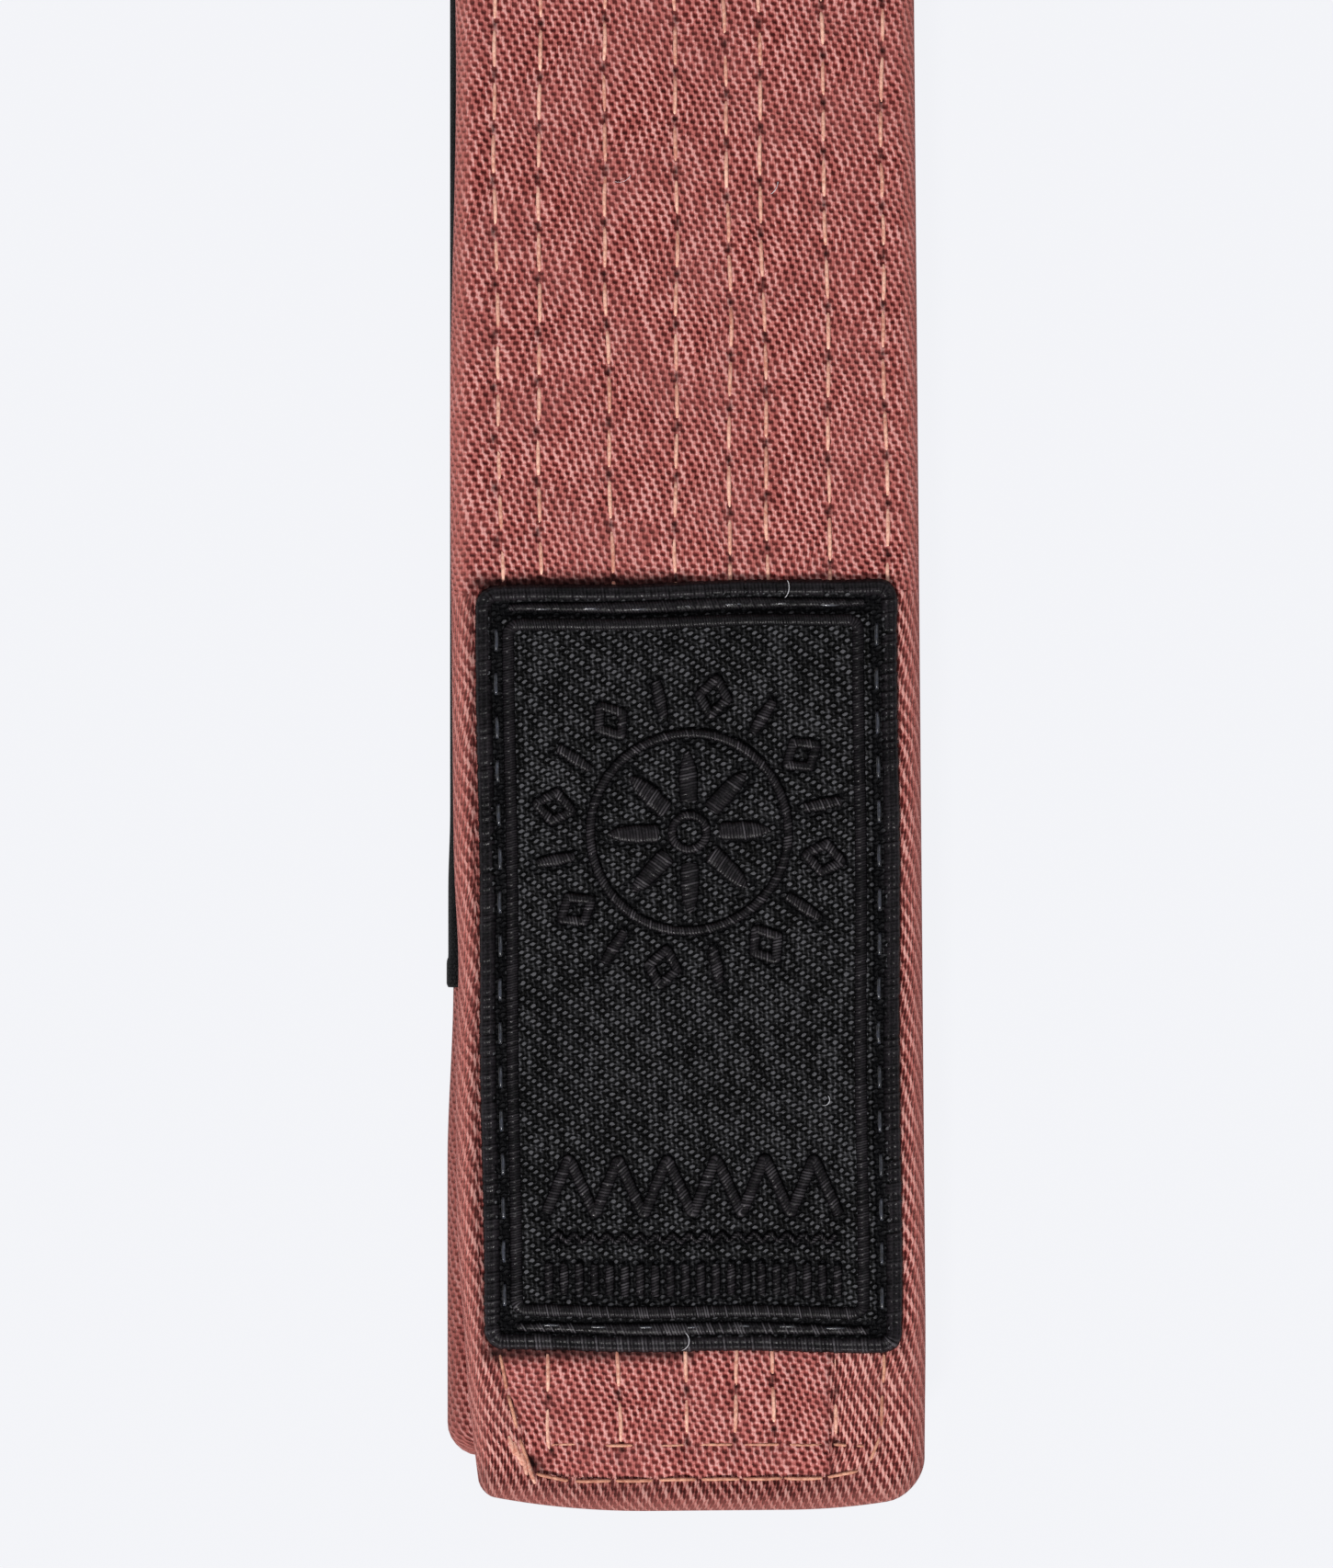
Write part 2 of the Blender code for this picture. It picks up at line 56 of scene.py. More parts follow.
# The belt, as the CAD has it.
HALF_WIDTH = 20.0
HALF_THICKNESS = 2.1
FRONT_TAIL = 225.0
REAR_TAIL = 221.0
FRONT_YAW = radians(0.5)
LEAD_LENGTH = 66.0
REAR_END = 34.0
FRONT_LEVEL = 7.9
FRONT_START_LEVEL = 6.8
REAR_LEVEL = 2.8
REST_LEVEL = 2.1
STRAND_PITCH = 4.7
PAIR_PITCH = 2 * STRAND_PITCH
OUTER_PAIR_RADIUS = 61.0
INNER_PAIR_RADIUS = 14.3
FOLD_RADIUS = 3.6
FOLD_EASE_ANGLE = radians(50)
COIL_STEPS_PER_TURN = 120

# The cover: its edge is a half round, and its rows of quilting are at shares of its width.
EDGE_RADIUS = 2.1
FLAT = HALF_WIDTH - EDGE_RADIUS
QUILT_ROWS = (0.088, 0.180, 0.327, 0.473, 0.587, 0.665, 0.800, 0.930)
OUTER_ROWS = (0, 7)
HEM_END = 15.2
STITCH_PITCH = 4.45
THREAD_RADIUS = 0.19
DIVE_DEPTH = 0.5
INTERLINING_HALF_WIDTH = 18.6
INTERLINING_LAYER = (0.08, 1.08)

# The patch, whose middle is where u and v are 0.
PATCH_U = 36.6 / 2
PATCH_V = 67.0 / 2
PATCH_FROM_TIP = 14.0
PATCH_SIDEWAYS = -0.3


# ---- the ribbon's path


def smooth(share):
    share = np.clip(share, 0.0, 1.0)
    return share * share * (3 - 2 * share)


def bump(distance, width):
    """1 where the distance is 0, and fading out over the width on both sides."""
    return np.exp(-((distance / width) ** 2))


def turns(count):
    """The angles of so many even steps round a circle."""
    return np.linspace(0, 2 * pi, count, endpoint=False)


def coil_path():
    """The roll about its axis, front strand in, fold, rear strand out: middles and face normals."""
    slope = PAIR_PITCH / (2 * pi)
    last = -pi / 2 - atan2(slope, OUTER_PAIR_RADIUS)
    turned = (OUTER_PAIR_RADIUS - INNER_PAIR_RADIUS) / slope
    steps = round(turned / (2 * pi) * COIL_STEPS_PER_TURN)
    turn = np.linspace(0, turned, steps + 1)
    radial = np.stack([np.cos(last + turn), np.sin(last + turn)], 1)
    pair = OUTER_PAIR_RADIUS - slope * turn
    wider = (2 * FOLD_RADIUS - STRAND_PITCH) * smooth(1 - (turned - turn) / FOLD_EASE_ANGLE)
    inward = radial * (pair - STRAND_PITCH / 2 - wider)[:, None]
    outward = radial * (pair + STRAND_PITCH / 2)[:, None]
    out = radial[-1]
    ahead = np.array([-out[1], out[0]])
    middle = pair[-1] + STRAND_PITCH / 2 - FOLD_RADIUS
    bend = np.linspace(0, pi, 17)[1:-1, None]
    fold_normal = -out * np.cos(bend) + ahead * np.sin(bend)
    fold = out * middle + fold_normal * FOLD_RADIUS
    middles = np.r_[inward, fold, outward[::-1]]
    normals = np.r_[-radial, fold_normal, radial[::-1]]
    return middles, normals


def tail_stations(along, level, yaw, face_up, tangent_y):
    """A tail's stations: along is measured from where it leaves the roll, negative to the tip."""
    zero = np.zeros_like(along)
    middles = np.stack([-sin(yaw) * along, tangent_y + cos(yaw) * along, level], 1)
    normals = np.stack([zero, zero, zero + (1 if face_up else -1)], 1)
    sideways = np.stack([zero + cos(yaw), zero + sin(yaw), zero], 1)
    return middles, normals, sideways


def belt_path():
    """Every station's place on the belt, its middle, face normal and sideways direction."""
    coil, coil_normals = coil_path()
    leaves = coil[-1]
    roll_z = REST_LEVEL - leaves[1]
    reach = (coil[:, 0] + coil_normals[:, 0] * HALF_THICKNESS).max()
    roll_y = (FRONT_TAIL - leaves[0] - reach) / 2
    tangent_y = roll_y + leaves[0]

    def levels(along, start, end):
        return start + (end - start) * smooth(-along / LEAD_LENGTH)

    lead = np.linspace(-LEAD_LENGTH, -0.5, 30)
    front = np.r_[-FRONT_TAIL, lead]
    height = levels(front, FRONT_START_LEVEL, FRONT_LEVEL)
    front = tail_stations(front, height, FRONT_YAW, True, tangent_y)
    back = np.r_[lead[::-1], REAR_END - REAR_TAIL, -REAR_TAIL]
    height = levels(back, REST_LEVEL, REAR_LEVEL)
    height[-1] = REST_LEVEL
    back = tail_stations(back, height, 0.0, False, tangent_y)
    zero = np.zeros(len(coil))
    roll = (
        np.stack([zero, roll_y + coil[:, 0], roll_z + coil[:, 1]], 1),
        np.stack([zero, coil_normals[:, 0], coil_normals[:, 1]], 1),
        np.stack([zero + 1, zero, zero], 1),
    )
    middles, normals, sideways = (np.concatenate(each) for each in zip(front, roll, back))
    steps = np.linalg.norm(np.diff(middles, axis=0), axis=1)
    return np.r_[0, np.cumsum(steps)], middles, normals, sideways


PATH_S, PATH_MIDDLE, PATH_NORMAL, PATH_SIDE = belt_path()
BELT_LENGTH = PATH_S[-1]
BENDS = np.linalg.norm(np.diff(PATH_NORMAL, axis=0), axis=1) / np.diff(PATH_S)
FOLD_S = PATH_S[np.argmax(BENDS)] + pi / 2 * FOLD_RADIUS

# Where the modelled stretches meet: s at the front, and distances from the rear tip.
FRONT_SEAM = 137.0
FRONT_COIL_SEAM = 226.0
REAR_SEAM = 90.0
REAR_COIL_SEAM = 222.0
COIL_END = BELT_LENGTH - REAR_COIL_SEAM


def place(s, a, h):
    """Points of the row frame, in mm, for places on the belt."""
    s, a, h = np.broadcast_arrays(s, a, h)

    def along(table):
        return np.stack([np.interp(s, PATH_S, table[:, axis]) for axis in range(3)], -1)

    normal = along(PATH_NORMAL)
    normal /= np.linalg.norm(normal, axis=-1, keepdims=True)
    return along(PATH_MIDDLE) + along(PATH_SIDE) * a[..., None] + normal * h[..., None]


def point(s, a=0.0, h=0.0):
    return tuple(place(s, a, h) * MM)


# ---- meshes


def make_mesh(name, points, faces, material, uvs=None, caps=0, **values):
    """A piece: points in mm, faces as index lists, uvs one pair in mm for each face corner. The
    last caps faces close its ends, and meet the rest at a sharp edge."""
    mesh = bpy.data.meshes.new(name)
    mesh.from_pydata((np.asarray(points) * MM).tolist(), [], faces)
    mesh.shade_smooth()
    if uvs is not None:
        layer = mesh.uv_layers.new(name="cloth")
        layer.data.foreach_set("uv", np.asarray(uvs, np.float32).ravel())
    for key, given in values.items():
        attribute = mesh.attributes.new(key, "FLOAT", "POINT")
        attribute.data.foreach_set("value", np.asarray(given, np.float32).ravel())
    if caps:
        sharp = mesh.attributes.new("sharp_edge", "BOOLEAN", "EDGE")
        for face in list(mesh.polygons)[-caps:]:
            for corner in face.loop_indices:
                sharp.data[mesh.loops[corner].edge_index].value = True
    mesh.materials.append(material)
    mesh.update()
    obj = bpy.data.objects.new(name, mesh)
    bpy.context.scene.collection.objects.link(obj)
    return obj


def grid_quads(index, flip=False):
    """Quads over a grid of vertex indices, seen anticlockwise from above unless flipped."""
    corners = [index[:-1, :-1], index[:-1, 1:], index[1:, 1:], index[1:, :-1]]
    if flip:
        corners.reverse()
    return np.stack(corners, -1).reshape(-1, 4)


# ---- quilting

random = np.random.default_rng(7)
ROW_MIDDLES = (np.array(QUILT_ROWS) - 0.5) * 2 * HALF_WIDTH
ROW_WAVES = random.uniform(0, 2 * pi, (len(QUILT_ROWS), 2))
ROW_LENGTHS = random.uniform((70, 17), (110, 26), (len(QUILT_ROWS), 2))


def row_place(row, s):
    """How far across the belt a row of quilting is, with the waver of a hand-fed machine."""
    waves = np.sin(2 * pi * np.asarray(s)[..., None] / ROW_LENGTHS[row] + ROW_WAVES[row])
    return ROW_MIDDLES[row] + waves @ (0.20, 0.09)


def needle_holes():
    """Where one row's needle holes are along the belt."""
    pitches = random.normal(STITCH_PITCH, 0.16, int(BELT_LENGTH / STITCH_PITCH))
    return random.uniform(0, STITCH_PITCH) + np.cumsum(pitches)


HOLES = [needle_holes() for row in QUILT_ROWS]


def to_nearest(values, marks):
    """How far each value is from the nearest mark."""
    after = np.clip(np.searchsorted(marks, values), 1, len(marks) - 1)
    return np.minimum(np.abs(values - marks[after - 1]), np.abs(marks[after] - values))


SOFT_WAVES = [
    (random.uniform(3.0, 10.0), random.normal(-0.65, 0.55), random.uniform(0, 2 * pi))
    for wave in range(14)
]


def soft_relief(a, s, seed):
    """Low, uneven swelling of the padded cloth."""
    total = np.zeros(np.broadcast(a, s).shape)
    for length, heading, start in SOFT_WAVES:
        phase = 2 * pi * (a * np.cos(heading) + s * np.sin(heading)) / length
        total += np.sin(phase + start * seed) * length / 8
    return total * 0.016


def quilt_relief(a, s, seed):
    """(height, painted shade) of the quilted surface: grooves along the rows and pits at the holes.
    """
    height = soft_relief(a, s, seed)
    dark = np.zeros_like(height)
    for row, holes in enumerate(HOLES):
        across = a - row_place(row, s)
        if row in OUTER_ROWS:
            across = across + 9 * (np.minimum(s, BELT_LENGTH - s) < HEM_END)
        hole = to_nearest(s, holes)
        groove, valley = bump(across, 0.5), bump(across, 1.3)
        pit = bump(across, 0.21) * bump(hole, 0.33)
        pull = bump(np.hypot(across, hole), 1.1)
        height -= 0.10 * groove + 0.11 * valley + 0.30 * pit + 0.09 * pull
        dark += 0.12 * groove + 1.1 * pit
    return height, np.clip(dark, 0, 1)


# ---- straps of belt


def edge_steps(count):
    """Distances in from an edge that are even along its half round."""
    return EDGE_RADIUS * (1 - np.cos(np.linspace(0, pi / 2, count + 1)))


# How finely a strap is made: offsets of the columns beside each row of quilting, the widest
# column, and the steps round its edge.
FINE = ((-1.1, -0.62, -0.36, -0.17, 0, 0.17, 0.36, 0.62, 1.1), 0.75, 7)
MEDIUM = ((-0.75, -0.28, 0, 0.28, 0.75), 1.6, 5)


def columns(detail):
    """Places across the belt's flat part, closer together near the rows of quilting."""
    spread, widest, _ = detail
    near = np.sort((ROW_MIDDLES[:, None] + spread).ravel())
    near = near[np.r_[True, np.diff(near) > 0.12]]
    near = near[np.abs(near) < FLAT - 0.1]
    edges = np.r_[-FLAT, near, FLAT]
    places = [near]
    for low, high in zip(edges, edges[1:]):
        parts = int(np.ceil((high - low) / widest))
        places.append(low + (high - low) * np.arange(1, parts) / parts)
    return np.sort(np.concatenate(places))


def follow_rows(a, s):
    """Moves the columns sideways with the rows' waver, so that each row has its own column."""
    knots = np.r_[-FLAT, ROW_MIDDLES, FLAT]
    wavers = np.array([row_place(row, s) - middle for row, middle in enumerate(ROW_MIDDLES)])
    wavers = np.r_[[0 * s], wavers, [0 * s]].T
    return a + np.stack([np.interp(a, knots, waver) for waver in wavers])


class Tip:
    """The rounded end of a tail: corner radii, how far the edge is set back, and its taper."""

    def __init__(self, left, right, setback=0.0, taper=0.0):
        self.left, self.right, self.setback, self.taper = left, right, setback, taper

    def limits(self, s):
        def inset(radius):
            return radius - np.sqrt(np.maximum(radius**2 - np.maximum(radius - s, 0) ** 2, 0))

        return -HALF_WIDTH + inset(self.left), HALF_WIDTH - inset(self.right)

    def inside(self, a, s):
        """How far inside the outline a point is."""
        depth = np.minimum(HALF_WIDTH - np.abs(a), s)
        for sign, radius in ((-1, self.left), (1, self.right)):
            x, y = a * sign - (HALF_WIDTH - radius), radius - s
            depth = np.where((x > 0) & (y > 0), radius - np.hypot(x, y), depth)
        return np.maximum(depth, 0)

    def warp(self, a, s):
        fade = smooth(1 - s / 15)
        back = self.setback * (1 + 0.4 * (a > 2)) * (np.maximum(np.abs(a - 2) - 6, 0) / 14) ** 2
        taper = self.taper * np.maximum(1 - s / 11, 0) ** 1.2 * np.clip(-a / HALF_WIDTH, 0, 1) ** 2
        return a + taper, s + back * fade


def strap(name, stations, tip=None, rear=False, detail=MEDIUM, extra=None, turned=None, pull=None,
          worn=None):
    """A stretch of the cover. stations are distances from the near tip, which is the rear tail's if
    rear is true. extra adds a piece's own relief, turned says where its cloth is turned, pull moves
    places across the belt, and the last argument gives how much painted shade darkens its edges."""

    def belt_s(s):
        return BELT_LENGTH - s if rear else s

    steps = edge_steps(detail[2])
    if tip:
        low, high = tip.limits(stations)
    else:
        low, high = stations * 0 - HALF_WIDTH, stations * 0 + HALF_WIDTH
    keep = 13.0
    inner = np.stack([
        np.interp(row, (-FLAT, -keep, keep, FLAT), (l + EDGE_RADIUS, -keep, keep, h - EDGE_RADIUS))
        for row, l, h in zip(follow_rows(columns(detail), belt_s(stations)), low, high)
    ])
    a = np.concatenate([low[:, None] + steps, inner, high[:, None] - steps[::-1]], 1)
    s = np.broadcast_to(stations[:, None], a.shape)
    depth = tip.inside(a, s) if tip else np.maximum(HALF_WIDTH - np.abs(a), 0)
    rounding = np.minimum(depth / EDGE_RADIUS, 1)
    half = HALF_THICKNESS * np.sqrt(np.maximum(1 - (1 - rounding) ** 2, 0))
    shown_a, shown_s = tip.warp(a, s) if tip else (a, s)
    if pull:
        shown_a = pull(shown_a, s)
    real_s = belt_s(shown_s)
    flatness = smooth((depth - 0.7) / 1.6)

    points, shades = [], []
    for sign in (1, -1):
        height, dark = quilt_relief(a, belt_s(s), sign)
        if extra:
            more, darker = extra(a, s, sign)
            height, dark = height + more, np.maximum(dark, darker)
        points.append(place(real_s, shown_a, sign * (half + height * flatness)).reshape(-1, 3))
        dark = dark * flatness
        # Painted shade that darkens the edges.
        if worn:
            dark = np.maximum(dark, worn(s) * (1 - smooth((depth - 0.8) / 3)))
        shades.append(dark.ravel())

    # Cloth coordinates: across and along the belt, measured over its rounded edges.
    run = np.hypot(np.diff(a, axis=1), np.diff(half, axis=1))
    across = np.concatenate([a[:, :1] * 0, np.cumsum(run, axis=1)], 1)
    across -= np.array([np.interp(0, row, length) for row, length in zip(a, across)])[:, None]
    along = real_s.copy()
    if tip:
        bent = np.minimum(s, EDGE_RADIUS)
        curved = EDGE_RADIUS * (np.arccos(1 - bent / EDGE_RADIUS) - pi / 2 + 1) - bent
        along += -curved if rear else curved
    cloth = [np.stack([each, along], -1) for each in (across, 2 * across[:, :1] - across)]

    # The two sides share their outlines' vertices.
    top = np.arange(a.size).reshape(a.shape)
    under = a.size + top
    under[:, 0], under[:, -1] = top[:, 0], top[:, -1]
    if tip:
        under[0] = top[0]
    corners = grid_quads(top, flip=rear)
    faces, uvs = [], []
    for index, places, quads in zip((top, under), cloth, (corners, corners[:, ::-1])):
        uv = places.reshape(-1, 2)[quads]
        if turned:
            middle = [each.ravel()[quads].mean(1) for each in (a, s)]
            uv = np.where(turned(*middle)[:, None, None], turn_cloth(uv), uv)
        faces += index.ravel()[quads].tolist()
        uvs.append(uv.reshape(-1, 2))
    ends = [-1] if tip else [0, -1]
    for end in ends:
        way = -1 if (end == 0) != rear else 1
        for made, (upper, lower) in ((faces, (top, under)), (uvs, cloth)):
            made.append(np.r_[upper[end], lower[end, 1:-1][::-1]][::way])
    used = np.unique([top, under])
    remap = np.full(2 * a.size, -1)
    remap[used] = np.arange(len(used))
    edge = 1 - smooth((depth - 0.35) / 1.3)
    values = {"shade": np.concatenate(shades)[used], "edge": np.tile(edge.ravel(), 2)[used]}
    if turned:
        values["turned"] = np.tile(turned(a, s).ravel(), 2)[used]
    return make_mesh(name, np.concatenate(points)[used], [remap[face].tolist() for face in faces],
                     CLOTH, np.concatenate(uvs), caps=len(ends), **values)


def turn_cloth(uv):
    """Cloth coordinates of the turned hem, where the weave is stretched and skewed a little."""
    across, along = uv[..., 0], uv[..., 1]
    return np.stack([0.821 * across - 0.089 * along, 1.033 * along - 0.112 * across], -1)


def core(name, stations, rear=False):
    """The two layers of interlining inside a stretch of the cover, as plain closed strips."""
    s = BELT_LENGTH - stations if rear else stations
    side, (near, far) = INTERLINING_HALF_WIDTH, INTERLINING_LAYER
    points, faces = [], []
    for layer, (low, high) in enumerate(((near, far), (-far, -near))):
        ring = [(-side, low), (side, low), (side, high), (-side, high)]
        points.append(np.stack([place(s, a, h) for a, h in ring], 1).reshape(-1, 3))
        index = 4 * (layer * len(s) + np.arange(len(s)))[:, None] + np.array([0, 1, 2, 3, 0])
        faces += grid_quads(index, flip=rear).tolist()
        ends = [index[0, 3::-1].tolist(), index[-1, :4].tolist()]
        faces += [end[::-1] for end in ends] if rear else ends
    return make_mesh(name, np.concatenate(points), faces, FELT)


# ---- stitches


def on_belt(a, s, h):
    return place(s, a, h)


def on_rear(a, q, h):
    return place(BELT_LENGTH - q, a, h)


def stitch(start, end, heights, radius, where=on_belt, sides=6):
    """Rings round one stitch between two places. heights is its height at even steps along it."""
    start, end = np.asarray(start, float), np.asarray(end, float)
    heading = (end - start) / np.linalg.norm(end - start)
    beside = np.array([-heading[1], heading[0]])
    share = np.linspace(0, 1, len(heights))
    bow = random.normal(0, 0.04) * np.sin(pi * share)
    middle = start + (end - start) * share[:, None] + beside * bow[:, None]
    thick = (radius * (0.72 + 0.28 * np.sin(pi * share) ** 0.5))[:, None]
    x = middle[:, :1] + thick * np.cos(turns(sides)) * beside[0]
    y = middle[:, 1:] + thick * np.cos(turns(sides)) * beside[1]
    return where(x, y, heights[:, None] + 0.8 * thick * np.sin(turns(sides)))


def tubes(name, runs, material):
    """One piece of many closed tubes; each run is an array of rings of points."""
    points, faces, base = [], [], 0
    for run in runs:
        rings, sides = run.shape[:2]
        index = base + np.arange(rings)[:, None] * sides + np.r_[:sides, 0]
        points.append(run.reshape(-1, 3))
        faces += grid_quads(index, flip=True).tolist()
        faces += [index[0, :sides].tolist(), index[-1, sides - 1::-1].tolist()]
        base += rings * sides
    return make_mesh(name, np.concatenate(points), faces, material)


def dive(count=11, base=HALF_THICKNESS - 0.24):
    """A stitch's height: out of one needle hole, over the cloth and into the next."""
    hump = np.sin(pi * np.linspace(0, 1, count)) ** 0.45
    return base + THREAD_RADIUS * 0.4 - DIVE_DEPTH * (1 - hump)


def row_stitches(row, start, end, sign, count=11, sides=6):
    """The stitches of one quilting row between two places along the belt, cut off at both."""
    runs = []
    for near, far in zip(HOLES[row], HOLES[row][1:]):
        low, high = near + random.uniform(0.16, 0.42), far - random.uniform(0.16, 0.42)
        low, high = max(low, start), min(high, end)
        if row in OUTER_ROWS:
            low, high = max(low, HEM_END), min(high, BELT_LENGTH - HEM_END)
        if high - low < 0.6:
            continue
        ends = [(float(row_place(row, np.array(s))), s) for s in (low, high)]
        runs.append(stitch(*ends, sign * dive(count), THREAD_RADIUS, sides=sides))
    return runs


def quilting(start, end, signs, count, sides):
    """The stitches of every row between two places along the belt."""
    return [run for row in range(len(QUILT_ROWS)) for sign in signs
            for run in row_stitches(row, start, end, sign, count, sides)]


def resample(path, step, closed=False):
    """Points evenly spaced along a path, and how far along it each is."""
    path = np.asarray(path, float)
    if closed:
        path = np.r_[path, path[:1]]
    run = np.r_[0, np.cumsum(np.linalg.norm(np.diff(path, axis=0), axis=1))]
    count = max(2, round(run[-1] / step))
    at = np.linspace(0, run[-1], count + 1)
    points = np.stack([np.interp(at, run, axis) for axis in path.T], -1)
    return (points[:-1], at[:-1]) if closed else (points, at)


def path_stitches(path, pitch, gap, heights, radius, where=on_belt):
    """Stitches along a path, each pitch long less a gap."""
    marks, _ = resample(path, pitch)
    runs = []
    for near, far in zip(marks, marks[1:]):
        way = (far - near) / np.linalg.norm(far - near)
        ends = near + way * gap / 2, far - way * gap / 2
        runs.append(stitch(*ends, heights, radius, where))
    return runs


def both_sides(path, pitch, gap, heights, *others):
    """Stitches along a path on the belt's face and its back."""
    return [run for sign in (1, -1)
            for run in path_stitches(path, pitch, gap, sign * heights, *others)]


def to_path(a, s, path):
    """Distance from each place to a path of straight stretches."""
    nearest = np.full(a.shape, 1e9)
    for (a0, s0), (a1, s1) in zip(path, path[1:]):
        way = np.array([a1 - a0, s1 - s0])
        length = np.linalg.norm(way)
        way = way / length
        along = np.clip((a - a0) * way[0] + (s - s0) * way[1], 0, length)
        nearest = np.minimum(nearest, np.hypot(a - a0 - along * way[0], s - s0 - along * way[1]))
    return nearest


# ---- satin embroidery

THREAD_STEPS = 4


def satin(path, width, height, base, where, pitch, slant=0.5, closed=False, across=9, depth=1.0,
          waist=0.0, highlight_by_y=None):
    """Points, faces, painted gap shade and painted highlights of a band of satin stitching, whose
    threads lie across its path. depth is how clearly they part, waist how far the band sinks along
    its middle, and the last argument gives from each place's y how strong the painted highlights on
    its threads are."""
    points, run = resample(path, pitch / THREAD_STEPS, closed)
    if closed:
        ahead = np.roll(points, -1, 0) - np.roll(points, 1, 0)
    else:
        ahead = np.gradient(points, axis=0)
    ahead /= np.linalg.norm(ahead, axis=1, keepdims=True)
    side = np.stack([-ahead[:, 1], ahead[:, 0]], 1)
    angle = np.linspace(-pi / 2, pi / 2, across)
    over, top = np.sin(angle), np.cos(angle)
    phase = run[:, None] / pitch + slant * over
    threads = random.normal(0, 1, int(run[-1] / pitch) + 40)
    odd = threads[np.floor(phase + 5.5).astype(int)]
    ridges = np.cos(2 * pi * phase)
    lift = height * top * (1 + 0.07 * odd) + 0.022 * depth * ridges * top**0.5
    lift -= waist * height * bump(over + 0.1, 0.22)
    half = np.interp(np.linspace(0, 1, len(points)), np.linspace(0, 1, len(width)), width) / 2
    reach = half[:, None] * over * (1 + 0.035 * odd * np.abs(over))
    x = points[:, :1] + side[:, :1] * reach
    y = points[:, 1:] + side[:, 1:] * reach
    made = where(x, y, base + lift).reshape(-1, 3)
    # Painted shade between the threads, at the band's sides and along a sunk waist.
    gap = np.maximum(depth * (0.5 - 0.5 * ridges) ** 1.5, np.abs(over) ** 6)
    gap += 0.6 * (waist > 0) * bump(over + 0.1, 0.16)
    # Painted highlights along the threads' crests, scaled by the given function of y.
    shine = depth * np.clip(0.5 * odd + 0.1, 0, 1) * (0.5 + 0.5 * ridges)
    shine *= np.maximum(top, 0) ** 0.7
    if highlight_by_y:
        shine = np.minimum(shine * highlight_by_y(y), 1)
    index = np.arange(len(made)).reshape(len(points), across)
    loop = np.concatenate([index, index[:, :1]], 1)
    if closed:
        loop = np.r_[loop, loop[:1]]
    faces = grid_quads(loop, flip=True).tolist()
    if not closed:
        faces += [index[0].tolist(), index[-1, ::-1].tolist()]
    return made, faces, gap.ravel(), shine.ravel()


def joined(name, parts):
    """One piece of several closed bodies of satin."""
    made, made_faces, gaps, shines = zip(*parts)
    faces, base = [], 0
    for points, each in zip(made, made_faces):
        faces += [[corner + base for corner in face] for face in each]
        base += len(points)
    return make_mesh(name, np.concatenate(made), faces, BLACK, gap=np.concatenate(gaps),
                     shine=np.concatenate(shines))


def rounded_rectangle(inset_u, inset_v, radius):
    """The points, anticlockwise, of an outline so far inside the patch's."""
    points = []
    for x, y, start in ((1, 1, 0), (-1, 1, 90), (-1, -1, 180), (1, -1, 270)):
        for turn in np.radians(start + np.linspace(0, 90, 13)):
            points.append((x * (PATCH_U - inset_u - radius) + radius * cos(turn),
                           y * (PATCH_V - inset_v - radius) + radius * sin(turn)))
    return np.array(points)


# ---- materials


class Graph:
    """Short ways to add nodes to one material."""

    def __init__(self, name):
        self.material = bpy.data.materials.new(name)
        self.material.use_nodes = True
        self.tree = self.material.node_tree

    def feed(self, socket, value):
        if isinstance(value, bpy.types.NodeSocket):
            self.tree.links.new(value, socket)
        elif value is not None:
            socket.default_value = value

    def node(self, kind, *values, output=0, **settings):
        """Adds a node, feeds its first inputs, skipping each None, and gives one output."""
        made = self.tree.nodes.new("ShaderNode" + kind)
        for key, value in settings.items():
            setattr(made, key, value)
        for socket, value in zip(made.inputs, values):
            self.feed(socket, value)
        return made.outputs[output]

    def math(self, operation, *values):
        return self.node("Math", *values, operation=operation)

    def add(self, *values):
        total = values[0]
        for value in values[1:]:
            total = self.math("ADD", total, value)
        return total

    def times(self, first, second):
        return self.math("MULTIPLY", first, second)

    def ease(self, value, low, high, out_low=0.0, out_high=1.0, how="SMOOTHSTEP"):
        return self.node("MapRange", value, low, high, out_low, out_high, interpolation_type=how)

    def scale(self, *values):
        return self.ease(*values, how="LINEAR")

    def attribute(self, name):
        return self.node("Attribute", attribute_name=name, output="Fac")

    def noise(self, vector, scale, detail, roughness=0.5, output="Fac"):
        return self.node("TexNoise", vector, None, scale, detail, roughness, output=output)

    def ramp(self, value, stops):
        made = self.node("ValToRGB", value)
        elements = made.node.color_ramp.elements
        while len(elements) < len(stops):
            elements.new(0.5)
        for element, (at, colour) in zip(elements, stops):
            element.position, element.color = at, colour
        return made

    def mix(self, share, first, second):
        return self.node("MixRGB", share, first, second)

    def bump(self, height, distance, strength=1.0, normal=None):
        return self.node("Bump", strength, distance, None, height, normal)

    def finish(self, **values):
        """Feeds the shader's inputs, which are named with _ for a space, and gives the material."""
        shader = self.tree.nodes["Principled BSDF"]
        for name, value in values.items():
            self.feed(shader.inputs[name.replace("_", " ")], value)
        return self.material


def rgb(red, green, blue):
    """Linear colour, with an alpha of 1, from the usual 0 to 255 values."""
    def linear(value):
        value /= 255
        return value / 12.92 if value <= 0.04045 else ((value + 0.055) / 1.055) ** 2.4

    return linear(red), linear(green), linear(blue), 1.0


def cloth_places(graph, wide, fine):
    """The mesh's cloth coordinates in mm, with the yarns' slight wander."""
    uv = graph.node("UVMap", uv_map="cloth")
    across, along, _ = graph.node("SeparateXYZ", uv).node.outputs
    for scale, reach in ((0.16, wide), (1.6, fine)):
        noise = graph.noise(uv, scale, 1.0, output="Color")
        red, green, _ = graph.node("SeparateColor", noise).node.outputs
        across = graph.add(across, graph.scale(red, 0.0, 1.0, -reach, reach))
        along = graph.add(along, graph.scale(green, 0.0, 1.0, -reach, reach))
    return uv, across, along


